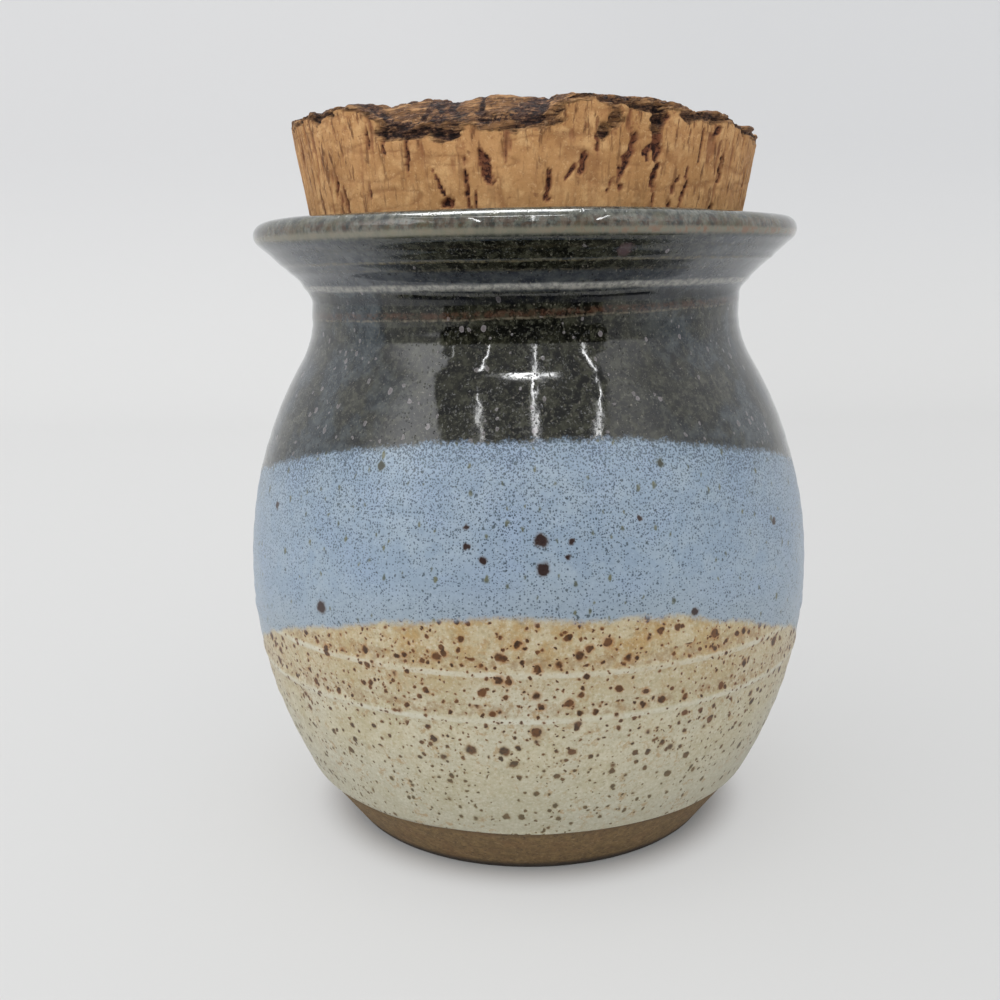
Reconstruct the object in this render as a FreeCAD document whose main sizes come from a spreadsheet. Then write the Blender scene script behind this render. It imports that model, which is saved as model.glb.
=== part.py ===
import FreeCAD, Part
import math
import os

import Sketcher

# A thrown stoneware jar with a flared mouth, closed by a tapered stopper cut from cork bark.
# Millimetres, +Z up. The origin is on the surface the jar stands on, under the jar's axis.
# Each outline is drawn in the XZ plane and turned about Z: x is a radius and y a height.

SIZES = [
    # the jar's outside, from the foot up
    ("foot_radius", 38.3, "where the bare bevel meets the table"),
    ("foot_edge_round", 0.8, "worn edge of the foot"),
    ("glaze_line_height", 11.5, "the glaze ends here"),
    ("glaze_line_radius", 47.3, "outside of the glaze at its lower edge"),
    ("glaze_step", 0.45, "how far the glaze stands out from the bare clay"),
    ("belly_height", 52.5, "height of the widest place"),
    ("belly_radius", 58.05, "the widest place"),
    ("shoulder_rise", 52.0, "from the widest place up to the narrow neck"),
    ("neck_radius", 43.5, "the narrowest place"),
    ("neck_arc", 18.0, "hollow curve from the shoulder into the neck"),
    ("neck_band", 1.5, "short upright stretch of the neck"),
    ("flare_arc", 7.0, "hollow curve from the neck into the flared mouth"),
    ("mouth_rise", 16.5, "from the neck band up to the rim"),
    ("rim_overhang", 10.8, "how far the rim stands out past the neck"),
    ("lip_round", 2.6, "outer round of the lip"),
    # the jar's inside
    ("floor_thickness", 6.5, "clay under the jar's floor"),
    ("floor_inset", 11.0, "clay between the floor's edge and the glaze line"),
    ("floor_round", 8.0, "round between floor and wall"),
    ("belly_wall", 4.0, "wall at the widest place"),
    ("neck_wall", 3.8, "wall at the neck"),
    ("throat_rise", 2.3, "upright throat above the narrowest place"),
    ("throat_angle", 26.5, "lean of the inner mouth from the axis, in degrees"),
    ("lip_inner_round", 3.2, "inner round of the lip"),
    # ridges left by the potter's fingers
    ("ridge_round", 0.9, "radius of a ridge"),
    ("ridge_height", 0.3, "how far a ridge stands out"),
    ("low_ridge_height", 37.6, "lower ridge on the belly"),
    ("high_ridge_height", 46.2, "upper ridge on the belly"),
    ("neck_ridge_rise", 1.0, "ridge on the neck, above the narrowest place"),
    ("flare_ridge_angle", 40.0, "ridge on the flare, along its arc in degrees"),
    # the stopper
    ("stopper_length", 33.5, "from its flat end to the highest bark"),
    ("stopper_angle", 10.2, "lean of its side from the axis, in degrees"),
    ("stopper_spread", 1.0, "how much wider its end is than the throat"),
    ("stopper_edge_round", 0.6, "round of its lower edge"),
    ("seat_gap", 0.05, "clearance to the mouth, on the radius"),
    ("bark_relief", 1.8, "depth of the furrows in the bark"),
    ("furrow_spacing", 13.0, "from one furrow to the next"),
    ("bark_fall", 4.2, "how much lower the bark is at the +X edge"),
    ("break_depth", 5.0, "how far the bark has broken away at the front edge"),
    ("break_width", 9.0, "from the front edge in to the whole bark"),
    ("break_start", -36.0, "left end of the break, round from the front in degrees"),
    ("break_end", 4.0, "right end of the break, round from the front in degrees"),
    ("break_blend", 8.0, "over which each end of the break fades, in degrees"),
]

# What follows from the sizes. low_arc is the arc that is upright at the widest place
# and passes through the glaze line. A ridge's centre lies ridge_sink inside the wall.
DERIVED = [
    ("low_arc", "=((belly_radius - glaze_line_radius)^2 + (belly_height - glaze_line_height)^2)"
                " / (2 * (belly_radius - glaze_line_radius))"),
    ("neck_height", "=belly_height + shoulder_rise"),
    ("mouth_start", "=neck_height + neck_band"),
    ("rim_height", "=mouth_start + mouth_rise"),
    ("rim_radius", "=neck_radius + rim_overhang"),
    ("throat_radius", "=neck_radius - neck_wall"),
    ("throat_top", "=neck_height + throat_rise"),
    ("floor_radius", "=glaze_line_radius - floor_inset"),
    ("stopper_radius", "=throat_radius + stopper_spread"),
    ("stopper_base", "=throat_top + (stopper_spread + seat_gap) / tan(throat_angle * 1deg)"),
    ("stopper_top", "=stopper_base + stopper_length"),
    ("stopper_edge", "=stopper_radius + stopper_length * tan(stopper_angle * 1deg)"),
    ("ridge_sink", "=ridge_round - ridge_height"),
    ("low_ridge_centre", "=belly_radius - low_arc - ridge_sink"
                         " + sqrt(low_arc^2 - (belly_height - low_ridge_height)^2)"),
    ("high_ridge_centre", "=belly_radius - low_arc - ridge_sink"
                          " + sqrt(low_arc^2 - (belly_height - high_ridge_height)^2)"),
    ("neck_ridge_centre", "=neck_radius - ridge_sink"),
    ("neck_ridge_height", "=neck_height + neck_ridge_rise"),
    ("flare_ridge_centre", "=neck_radius - ridge_sink"
                           " + flare_arc * (1 - cos(flare_ridge_angle * 1deg))"),
    ("flare_ridge_height", "=mouth_start + flare_arc * sin(flare_ridge_angle * 1deg)"),
]


def make_sheet(doc):
    """Put every size in the sheet and return it."""
    sheet = doc.addObject("Spreadsheet::Sheet", "Sizes")
    rows = [(name, str(value)) for name, value, meaning in SIZES] + DERIVED
    for number, (name, content) in enumerate(rows, start=1):
        sheet.set("A%d" % number, name)
        sheet.set("B%d" % number, content)
        sheet.setAlias("B%d" % number, name)
    doc.recompute()
    return sheet


def origin_plane(body, role):
    """The body's own origin plane with this role."""
    for feature in body.Origin.OriginFeatures:
        if feature.Role == role:
            return feature
    raise ValueError("no plane " + role)


def side_sketch(body, name):
    """A sketch in the body's XZ plane."""
    sketch = body.newObject("Sketcher::SketchObject", name)
    sketch.AttachmentSupport = (origin_plane(body, "XZ_Plane"), [""])
    sketch.MapMode = "FlatFace"
    return sketch


def turn(body, kind, name, sketch):
    """Turn a sketch about its upright axis, as a Revolution or a Groove."""
    feature = body.newObject("PartDesign::" + kind, name)
    feature.Profile = sketch
    feature.ReferenceAxis = (sketch, ["V_Axis"])
    feature.Angle = 360
    sketch.Visibility = False
    body.Document.recompute()
    return feature


def line(sketch, start, end):
    """Add a straight line and return its number in the sketch."""
    return sketch.addGeometry(Part.LineSegment(FreeCAD.Vector(*start, 0), FreeCAD.Vector(*end, 0)))


def arc(sketch, centre, start, end):
    """Add an arc that runs anticlockwise from start to end about centre."""
    radius = math.dist(centre, start)
    circle = Part.Circle(FreeCAD.Vector(*centre, 0), FreeCAD.Vector(0, 0, 1), radius)
    first = math.atan2(start[1] - centre[1], start[0] - centre[0])
    last = math.atan2(end[1] - centre[1], end[0] - centre[0])
    if last <= first:
        last += 2 * math.pi
    return sketch.addGeometry(Part.ArcOfCircle(circle, first, last))


START, END, CENTRE = 1, 2, 3
ORIGIN = (-1, START)
UPRIGHT_AXIS = -2


def drawn(sketch, kind, places):
    """What a dimension of this kind measures on the outline as it was drawn."""
    if kind == "Radius":
        return sketch.Geometry[places[0]].Radius
    first, second = sketch.getPoint(*places[:2]), sketch.getPoint(*places[2:])
    return second.x - first.x if kind == "DistanceX" else second.y - first.y


def bind(sketch, kind, places, expression):
    """Add a dimension of this kind and tie it to an expression on the sheet."""
    value = drawn(sketch, kind, places)
    number = sketch.addConstraint(Sketcher.Constraint(kind, *places, value))
    sketch.setExpression("Constraints[%d]" % number, expression)


def place_point(sketch, point, radius, height):
    """Fix one point of the outline by its radius and its height."""
    bind(sketch, "DistanceX", ORIGIN + point, radius)
    bind(sketch, "DistanceY", ORIGIN + point, height)


def join(sketch, first, second, smooth=False):
    """Join two ends, and make them tangent there if smooth."""
    sketch.addConstraint(Sketcher.Constraint("Tangent" if smooth else "Coincident", *first, *second))


def level(sketch, first, second):
    """Put two points at the same height."""
    sketch.addConstraint(Sketcher.Constraint("Horizontal", *first, *second))


def shoulder_arc(belly, neck, neck_arc):
    """Radius of the arc that is upright at the belly and runs smoothly into the neck's arc."""
    inward = belly[0] - neck[0]
    upward = neck[1] - belly[1]
    return (inward ** 2 + upward ** 2) / (2 * inward) - neck_arc


def meeting_point(centre_a, radius_a, centre_b, radius_b):
    """Where two circles that touch from outside meet."""
    share = radius_a / (radius_a + radius_b)
    return (centre_a[0] + share * (centre_b[0] - centre_a[0]),
            centre_a[1] + share * (centre_b[1] - centre_a[1]))


def crossing_tangent(centre_a, radius_a, centre_b, radius_b):
    """Ends of the line that touches circle a on its left and circle b on its right."""
    apart = (centre_b[0] - centre_a[0], centre_b[1] - centre_a[1])
    distance = math.hypot(*apart)
    swing = math.acos((radius_a + radius_b) / distance)
    facing = math.atan2(apart[1], apart[0]) + swing
    normal = (math.cos(facing), math.sin(facing))
    return ((centre_a[0] + radius_a * normal[0], centre_a[1] + radius_a * normal[1]),
            (centre_b[0] - radius_b * normal[0], centre_b[1] - radius_b * normal[1]))


def draw_outside(sketch, size):
    """The jar's outside, closed along the axis."""
    foot_in = (size.glaze_line_radius - size.glaze_step, size.glaze_line_height)
    foot_out = (size.glaze_line_radius, size.glaze_line_height)
    belly = (size.belly_radius, size.belly_height)
    neck = (size.neck_radius, size.neck_height)
    low_centre = (size.belly_radius - size.low_arc, size.belly_height)
    high_arc = shoulder_arc(belly, neck, size.neck_arc)
    high_centre = (size.belly_radius - high_arc, size.belly_height)
    neck_centre = (size.neck_radius + size.neck_arc, size.neck_height)
    shoulder = meeting_point(high_centre, high_arc, neck_centre, size.neck_arc)
    mouth = (size.neck_radius, size.mouth_start)
    flare_centre = (size.neck_radius + size.flare_arc, size.mouth_start)
    lip_centre = (size.rim_radius - size.lip_round, size.rim_height - size.lip_round)
    flare_end, lip_start = crossing_tangent(lip_centre, size.lip_round, flare_centre,
                                            size.flare_arc)[::-1]
    rim = (lip_centre[0], size.rim_height)

    base = line(sketch, (0, 0), (size.foot_radius, 0))
    bevel = line(sketch, (size.foot_radius, 0), foot_in)
    step = line(sketch, foot_in, foot_out)
    low = arc(sketch, low_centre, foot_out, belly)
    high = arc(sketch, high_centre, belly, shoulder)
    hollow = arc(sketch, neck_centre, neck, shoulder)
    band = line(sketch, neck, mouth)
    flare = arc(sketch, flare_centre, flare_end, mouth)
    cone = line(sketch, flare_end, lip_start)
    lip = arc(sketch, lip_centre, lip_start, rim)
    top = line(sketch, rim, (0, size.rim_height))
    axis = line(sketch, (0, size.rim_height), (0, 0))

    join(sketch, (base, START), ORIGIN)
    join(sketch, (base, END), (bevel, START))
    join(sketch, (bevel, END), (step, START))
    join(sketch, (step, END), (low, START))
    join(sketch, (low, END), (high, START), smooth=True)
    join(sketch, (high, END), (hollow, END), smooth=True)
    join(sketch, (hollow, START), (band, START))
    join(sketch, (band, END), (flare, END))
    join(sketch, (flare, START), (cone, START), smooth=True)
    join(sketch, (cone, END), (lip, START), smooth=True)
    join(sketch, (lip, END), (top, START))
    join(sketch, (top, END), (axis, START))
    join(sketch, (axis, END), ORIGIN)
    for flat in (base, step, top):
        sketch.addConstraint(Sketcher.Constraint("Horizontal", flat))
    for upright in (band, axis):
        sketch.addConstraint(Sketcher.Constraint("Vertical", upright))
    level(sketch, (low, CENTRE), (low, END))
    level(sketch, (hollow, CENTRE), (hollow, START))
    level(sketch, (flare, CENTRE), (flare, END))
    sketch.addConstraint(Sketcher.Constraint("Vertical", lip, CENTRE, lip, END))

    bind(sketch, "DistanceX", ORIGIN + (base, END), "Sizes.foot_radius")
    bind(sketch, "DistanceX", (step, START, step, END), "Sizes.glaze_step")
    place_point(sketch, (step, END), "Sizes.glaze_line_radius", "Sizes.glaze_line_height")
    place_point(sketch, (low, END), "Sizes.belly_radius", "Sizes.belly_height")
    place_point(sketch, (hollow, START), "Sizes.neck_radius", "Sizes.neck_height")
    bind(sketch, "Radius", (hollow,), "Sizes.neck_arc")
    bind(sketch, "DistanceY", (band, START, band, END), "Sizes.neck_band")
    bind(sketch, "Radius", (flare,), "Sizes.flare_arc")
    bind(sketch, "Radius", (lip,), "Sizes.lip_round")
    place_point(sketch, (lip, END), "Sizes.rim_radius - Sizes.lip_round", "Sizes.rim_height")


def draw_inside(sketch, size):
    """The hollow of the jar, drawn on past the rim so that it opens the mouth."""
    above_rim = size.rim_height + size.lip_round
    belly_in = (size.belly_radius - size.belly_wall, size.belly_height)
    throat = (size.throat_radius, size.neck_height)
    throat_arc = size.neck_arc + size.neck_wall
    corner = (size.floor_radius, size.floor_thickness)
    side = belly_in[0] - corner[0]
    rise = size.belly_height - size.floor_thickness
    low_arc = (side ** 2 + rise ** 2) / (2 * side)
    low_centre = (belly_in[0] - low_arc, size.belly_height)
    high_arc = shoulder_arc(belly_in, throat, throat_arc)
    high_centre = (belly_in[0] - high_arc, size.belly_height)
    throat_centre = (size.throat_radius + throat_arc, size.neck_height)
    shoulder = meeting_point(high_centre, high_arc, throat_centre, throat_arc)
    throat_end = (size.throat_radius, size.throat_top)
    spread = (above_rim - size.throat_top) * math.tan(math.radians(size.throat_angle))
    mouth = (size.throat_radius + spread, above_rim)

    ground = line(sketch, (0, size.floor_thickness), corner)
    low = arc(sketch, low_centre, corner, belly_in)
    high = arc(sketch, high_centre, belly_in, shoulder)
    hollow = arc(sketch, throat_centre, throat, shoulder)
    band = line(sketch, throat, throat_end)
    cone = line(sketch, throat_end, mouth)
    top = line(sketch, mouth, (0, above_rim))
    axis = line(sketch, (0, above_rim), (0, size.floor_thickness))

    join(sketch, (ground, END), (low, START))
    join(sketch, (low, END), (high, START), smooth=True)
    join(sketch, (high, END), (hollow, END), smooth=True)
    join(sketch, (hollow, START), (band, START))
    join(sketch, (band, END), (cone, START))
    join(sketch, (cone, END), (top, START))
    join(sketch, (top, END), (axis, START))
    join(sketch, (axis, END), (ground, START))
    sketch.addConstraint(Sketcher.Constraint("Horizontal", ground))
    sketch.addConstraint(Sketcher.Constraint("Horizontal", top))
    sketch.addConstraint(Sketcher.Constraint("Vertical", band))
    sketch.addConstraint(Sketcher.Constraint("PointOnObject", axis, START, UPRIGHT_AXIS))
    sketch.addConstraint(Sketcher.Constraint("PointOnObject", axis, END, UPRIGHT_AXIS))
    level(sketch, (low, CENTRE), (low, END))
    level(sketch, (hollow, CENTRE), (hollow, START))

    place_point(sketch, (ground, END), "Sizes.floor_radius", "Sizes.floor_thickness")
    place_point(sketch, (low, END), "Sizes.belly_radius - Sizes.belly_wall", "Sizes.belly_height")
    place_point(sketch, (hollow, START), "Sizes.throat_radius", "Sizes.neck_height")
    bind(sketch, "Radius", (hollow,), "Sizes.neck_arc + Sizes.neck_wall")
    bind(sketch, "DistanceY", (band, START, band, END), "Sizes.throat_rise")
    bind(sketch, "DistanceY", ORIGIN + (cone, END), "Sizes.rim_height + Sizes.lip_round")
    bind(sketch, "DistanceX", (cone, START, cone, END),
         "(Sizes.rim_height + Sizes.lip_round - Sizes.throat_top) * tan(Sizes.throat_angle * 1deg)")


def draw_ridges(sketch, size):
    """Small circles that stand out of the wall, one for each ridge."""
    for ridge in ("low_ridge", "high_ridge", "neck_ridge", "flare_ridge"):
        radius, height = ridge + "_centre", ridge + "_height"
        centre = FreeCAD.Vector(getattr(size, radius), getattr(size, height), 0)
        circle = sketch.addGeometry(Part.Circle(centre, FreeCAD.Vector(0, 0, 1), size.ridge_round))
        bind(sketch, "Radius", (circle,), "Sizes.ridge_round")
        place_point(sketch, (circle, CENTRE), "Sizes." + radius, "Sizes." + height)


def ring_edge(shape, radius, height):
    """Name of the circular edge about Z that is nearest to this radius and height."""
    def miss(edge):
        circle = edge.Curve
        return abs(circle.Radius - radius) + abs(circle.Center.z - height)
    rings = [(miss(edge), "Edge%d" % number) for number, edge in enumerate(shape.Edges, start=1)
             if isinstance(edge.Curve, Part.Circle) and abs(edge.Curve.Axis.z) > 0.99]
    return min(rings)[1]


def round_ring(body, base, name, radius, height, size_name):
    """Round the ring-shaped edge at this radius and height."""
    fillet = body.newObject("PartDesign::Fillet", name)
    fillet.Base = (base, [ring_edge(base.Shape, radius, height)])
    fillet.setExpression("Radius", "Sizes." + size_name)
    body.Document.recompute()
    return fillet


def make_jar(doc, size):
    """The jar: one thrown piece, hollow, open at its mouth."""
    body = doc.addObject("PartDesign::Body", "Jar")
    outside = side_sketch(body, "JarOutside")
    draw_outside(outside, size)
    thrown = turn(body, "Revolution", "ThrownForm", outside)
    ridges = side_sketch(body, "ThrowingRidges")
    draw_ridges(ridges, size)
    turn(body, "Revolution", "Ridges", ridges)
    inside = side_sketch(body, "JarInside")
    draw_inside(inside, size)
    hollowed = turn(body, "Groove", "Hollow", inside)
    if hollowed.Shape.Volume > 0.8 * thrown.Shape.Volume:
        raise RuntimeError("the hollow was not cut")
    mouth_radius = size.throat_radius + ((size.rim_height - size.throat_top)
                                         * math.tan(math.radians(size.throat_angle)))
    lip = round_ring(body, hollowed, "LipInside", mouth_radius, size.rim_height, "lip_inner_round")
    ground = round_ring(body, lip, "FloorRound", size.floor_radius, size.floor_thickness,
                        "floor_round")
    round_ring(body, ground, "FootEdge", size.foot_radius, 0, "foot_edge_round")
    body.Label = "jar"
    return body


def draw_stopper(sketch, size):
    """The stopper's side: a cone from its flat end up past the highest bark."""
    rise = size.stopper_length + size.bark_relief
    low = (size.stopper_radius, size.stopper_base)
    high = (size.stopper_radius + rise * math.tan(math.radians(size.stopper_angle)), low[1] + rise)

    base = line(sketch, (0, low[1]), low)
    side = line(sketch, low, high)
    top = line(sketch, high, (0, high[1]))
    axis = line(sketch, (0, high[1]), (0, low[1]))

    join(sketch, (base, END), (side, START))
    join(sketch, (side, END), (top, START))
    join(sketch, (top, END), (axis, START))
    join(sketch, (axis, END), (base, START))
    for flat in (base, top):
        sketch.addConstraint(Sketcher.Constraint("Horizontal", flat))
    for end in (START, END):
        sketch.addConstraint(Sketcher.Constraint("PointOnObject", axis, end, UPRIGHT_AXIS))
    place_point(sketch, (base, END), "Sizes.stopper_radius", "Sizes.stopper_base")
    bind(sketch, "DistanceY", (side, START, side, END), "Sizes.stopper_length + Sizes.bark_relief")
    bind(sketch, "DistanceX", (side, START, side, END),
         "(Sizes.stopper_length + Sizes.bark_relief) * tan(Sizes.stopper_angle * 1deg)")


def ease(value, low, high):
    """0 below low, 1 above high, and an even S between them."""
    share = min(1, max(0, (value - low) / (high - low)))
    return share * share * (3 - 2 * share)


def bark_height(across, along, size):
    """Height of the bark: plates parted by furrows that wander, broken away at the front."""
    wander = 0.28 * size.furrow_spacing * math.sin(along / (1.1 * size.furrow_spacing) + 0.6)
    phase = 2 * math.pi * (across + wander) / size.furrow_spacing + 0.9
    ripple = 0.5 - 0.5 * math.cos(phase)
    cross_phase = 2 * math.pi * (along + 0.3 * across) / (1.9 * size.furrow_spacing)
    plate = 0.62 + 0.38 * math.sin(cross_phase + 1.7 * math.sin(across / size.furrow_spacing))
    furrow = size.bark_relief * (1 - ripple ** 0.6) * plate + 0.25 * size.bark_relief * (1 - plate)
    fall = size.bark_fall * max(0, across / size.stopper_edge) ** 1.5
    facing = math.degrees(math.atan2(across, -along))
    outward = ease(math.hypot(across, along), size.stopper_edge - size.break_width,
                   size.stopper_edge)
    begun = ease(facing, size.break_start - size.break_blend, size.break_start + size.break_blend)
    ended = ease(facing, size.break_end - size.break_blend, size.break_end + size.break_blend)
    return size.stopper_top - furrow - fall - size.break_depth * outward * begun * (1 - ended)


def make_bark_cutter(doc, size):
    """All the space above the bark, as a block whose underside is the bark's relief."""
    reach = 1.08 * size.stopper_edge
    steps = 2 * math.ceil(reach / (0.26 * size.furrow_spacing))
    places = [reach * (2 * number / steps - 1) for number in range(steps + 1)]
    grid = [[FreeCAD.Vector(x, y, bark_height(x, y, size)) for y in places] for x in places]
    relief = Part.BSplineSurface()
    relief.interpolate(grid)
    cutter = doc.addObject("Part::Feature", "AboveBark")
    depth = size.bark_relief + size.bark_fall + size.break_depth
    cutter.Shape = relief.toShape().extrude(FreeCAD.Vector(0, 0, 2 * depth))
    return cutter


def make_stopper(doc, size):
    """The stopper: a cone of cork with the bark left on its wide end."""
    body = doc.addObject("PartDesign::Body", "StopperCone")
    outline = side_sketch(body, "StopperOutline")
    draw_stopper(outline, size)
    cone = turn(body, "Revolution", "Cone", outline)
    round_ring(body, cone, "StopperEdge", size.stopper_radius, size.stopper_base,
               "stopper_edge_round")
    stopper = doc.addObject("Part::Cut", "Stopper")
    stopper.Base = body
    stopper.Tool = make_bark_cutter(doc, size)
    doc.recompute()
    stopper.Label = "cork_lid"
    return stopper


class SheetSizes:
    """The sheet's values as plain numbers."""

    def __init__(self, sheet):
        for name in [row[0] for row in SIZES + DERIVED]:
            value = sheet.get(name)
            setattr(self, name, value.Value if hasattr(value, "Value") else float(value))


def check(doc, parts):
    """Stop if any object failed or any sub-part isn't one valid solid."""
    for thing in doc.Objects:
        if "Invalid" in thing.State or "Error" in thing.State:
            raise RuntimeError("%s failed: %s" % (thing.Label, thing.State))
    for part in parts:
        shape = part.Shape
        if shape.isNull() or not shape.isValid() or len(shape.Solids) != 1:
            raise RuntimeError("%s isn't one valid solid" % part.Label)


def main():
    doc = FreeCAD.newDocument("CorkedJar")
    size = SheetSizes(make_sheet(doc))
    parts = [make_jar(doc, size), make_stopper(doc, size)]
    doc.recompute()
    check(doc, parts)
    os.makedirs("parts", exist_ok=True)
    for part in parts:
        part.Shape.exportStep("parts/%s.step" % part.Label)
        print("%-10s volume %.0f mm3" % (part.Label, part.Shape.Volume))


main()
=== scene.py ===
import math

import bpy
import numpy as np
from mathutils import Matrix, Vector


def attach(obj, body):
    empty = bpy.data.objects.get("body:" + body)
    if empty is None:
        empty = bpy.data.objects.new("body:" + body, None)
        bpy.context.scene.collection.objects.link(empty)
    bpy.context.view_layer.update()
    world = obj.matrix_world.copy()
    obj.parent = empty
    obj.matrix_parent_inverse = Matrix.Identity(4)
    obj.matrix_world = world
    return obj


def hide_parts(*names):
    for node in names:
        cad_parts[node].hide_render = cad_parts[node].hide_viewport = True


# A hand-thrown stoneware jar with three glazes, closed by a stopper of natural cork.
# The front is -Y. Sizes are in millimetres until a mesh is made, and angles in degrees are
# counted from the front, growing towards +X.

MM = 0.001
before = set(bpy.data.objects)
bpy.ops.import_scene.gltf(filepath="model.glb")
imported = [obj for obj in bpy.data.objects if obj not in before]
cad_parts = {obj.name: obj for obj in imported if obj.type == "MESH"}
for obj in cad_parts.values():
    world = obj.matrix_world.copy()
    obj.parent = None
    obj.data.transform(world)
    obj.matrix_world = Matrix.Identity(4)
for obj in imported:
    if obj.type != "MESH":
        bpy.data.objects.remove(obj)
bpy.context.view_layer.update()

# ---------------------------------------------------------------- sizes, as in the part's source
FOOT_RADIUS = 38.3
FOOT_EDGE_ROUND = 0.8
GLAZE_LINE_HEIGHT = 11.5
GLAZE_LINE_RADIUS = 47.3
GLAZE_STEP = 0.45
BELLY_HEIGHT = 52.5
BELLY_RADIUS = 58.05
NECK_HEIGHT = 104.5
NECK_RADIUS = 43.5
NECK_ARC = 18.0
MOUTH_START = 106.0
FLARE_ARC = 7.0
RIM_HEIGHT = 122.5
RIM_RADIUS = 54.3
LIP_ROUND = 2.6
FLOOR_THICKNESS = 6.5
FLOOR_RADIUS = 36.0
FLOOR_ROUND = 8.0
BELLY_WALL = 4.0
NECK_WALL = 3.8
THROAT_TOP = 106.8
THROAT_ANGLE = 26.5
LIP_INNER_ROUND = 3.2
STOPPER_BASE = 108.91
STOPPER_TOP = 142.41
STOPPER_RADIUS = 40.7
STOPPER_EDGE = 46.73
STOPPER_ANGLE = 10.2
STOPPER_EDGE_ROUND = 0.6
BARK_RELIEF = 1.8
FURROW_SPACING = 13.0

# points of the jar's profile, as radius and height
BELLY = (BELLY_RADIUS, BELLY_HEIGHT)
NECK = (NECK_RADIUS, NECK_HEIGHT)
GLAZE_LINE = (GLAZE_LINE_RADIUS, GLAZE_LINE_HEIGHT)
LIP_CENTRE = (RIM_RADIUS - LIP_ROUND, RIM_HEIGHT - LIP_ROUND)
GLAZE_BEAD = 0.38         # rounding of the glaze's lower edge
POLE_RADIUS = 3.0         # where the rings end and the faces run to a pole
SAME_POINT = 0.02


# ---------------------------------------------------------------- noise for the meshes
def smooth(x, low, high):
    """0 below low, 1 above high, and an even S between them."""
    t = np.clip((x - low) / (high - low), 0.0, 1.0)
    return t * t * (3 - 2 * t)


def value_noise(u, v, seed, wrap=256):
    """Even noise from -1 to 1 on a lattice of unit cells; it repeats in u after wrap cells."""
    table = np.random.default_rng(seed).uniform(-1, 1, (256, 256))
    column, row = np.floor(u).astype(int), np.floor(v).astype(int)
    s, t = u - column, v - row
    s, t = s * s * (3 - 2 * s), t * t * (3 - 2 * t)
    c0, c1 = column % wrap % 256, (column + 1) % wrap % 256
    r0, r1 = row % 256, (row + 1) % 256
    low = table[c0, r0] * (1 - s) + table[c1, r0] * s
    high = table[c0, r1] * (1 - s) + table[c1, r1] * s
    return low * (1 - t) + high * t


def layered_noise(u, v, seed, layers=4, wrap=256, fall=0.5):
    """Noise in several octaves, still within about -1 to 1."""
    total, weight, most = 0.0, 1.0, 0.0
    for layer in range(layers):
        step = 2 ** layer
        total = total + weight * value_noise(u * step, v * step, seed + layer, wrap * step)
        most += weight
        weight *= fall
    return total / most


# ---------------------------------------------------------------- meshes
def ring_mesh(name, rings, attributes, pole_low=None, pole_high=None):
    """A closed surface from rings of points, each ring going once round the axis.

    rings is rows x columns x 3 in millimetres, and attributes are rows x columns.
    """
    rows, columns = rings.shape[:2]
    points = rings.reshape(-1, 3)
    faces = []
    here = np.arange(columns)
    after = (here + 1) % columns
    for row in range(rows - 1):
        low, high = row * columns, (row + 1) * columns
        faces.append(np.stack([low + here, low + after, high + after, high + here], axis=1))
    quads = np.concatenate(faces)
    ends, extra, extra_rows = [], [], []
    for pole, row, flip in ((pole_low, 0, True), (pole_high, rows - 1, False)):
        if pole is None:
            continue
        index = rows * columns + len(extra)
        extra.append(pole)
        extra_rows.append(row)
        for a, b in zip(row * columns + here, row * columns + after):
            ends.append((int(b), int(a), index) if flip else (int(a), int(b), index))
    if extra:
        points = np.concatenate([points, np.array(extra, float)])
    mesh = bpy.data.meshes.new(name)
    mesh.from_pydata((points * MM).tolist(), [], quads.tolist() + ends)
    for label, values in attributes.items():
        flat = np.concatenate([values.reshape(-1)] + [values[row, :1] for row in extra_rows])
        layer = mesh.attributes.new(label, "FLOAT", "POINT")
        layer.data.foreach_set("value", flat.astype(np.float32))
    mesh.validate()
    mesh.polygons.foreach_set("use_smooth", [True] * len(mesh.polygons))
    mesh.update()
    obj = bpy.data.objects.new(name, mesh)
    bpy.context.scene.collection.objects.link(obj)
    return obj


def arc_points(centre, radius, first, last, spacing):
    """Points along an arc, from one angle to another in degrees."""
    count = max(2, int(abs(math.radians(last - first)) * radius / spacing))
    angles = np.radians(np.linspace(first, last, count + 1))
    return np.stack([centre[0] + radius * np.cos(angles), centre[1] + radius * np.sin(angles)], axis=1)


def line_points(start, end, spacing):
    """Points along a straight line."""
    count = max(1, int(math.dist(start, end) / spacing))
    share = np.linspace(0, 1, count + 1)[:, None]
    return np.array(start) * (1 - share) + np.array(end) * share


def rounded_corner(before, corner, after, radius, spacing):
    """The arc that rounds a corner between two straight lines."""
    corner = np.array(corner, float)
    a = (np.array(before) - corner) / math.dist(before, corner)
    b = (np.array(after) - corner) / math.dist(after, corner)
    half = math.acos(float(np.clip(a @ b, -1, 1))) / 2
    centre = corner + (a + b) / np.linalg.norm(a + b) * radius / math.sin(half)
    reach = radius / math.tan(half)
    start, end = corner + a * reach, corner + b * reach
    first = math.degrees(math.atan2(*(start - centre)[::-1]))
    last = math.degrees(math.atan2(*(end - centre)[::-1]))
    if last - first > 180:
        last -= 360
    if first - last > 180:
        last += 360
    return arc_points(centre, radius, first, last, spacing)


def wall_arcs(belly, neck, neck_arc):
    """The shoulder's circle, the neck's circle and the angle at which they meet."""
    inward, upward = belly[0] - neck[0], neck[1] - belly[1]
    high_arc = (inward ** 2 + upward ** 2) / (2 * inward) - neck_arc
    high_centre = (belly[0] - high_arc, belly[1])
    neck_centre = (neck[0] + neck_arc, neck[1])
    meeting = math.degrees(math.atan2(neck_centre[1] - high_centre[1],
                                      neck_centre[0] - high_centre[0]))
    return high_centre, high_arc, neck_centre, meeting


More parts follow.
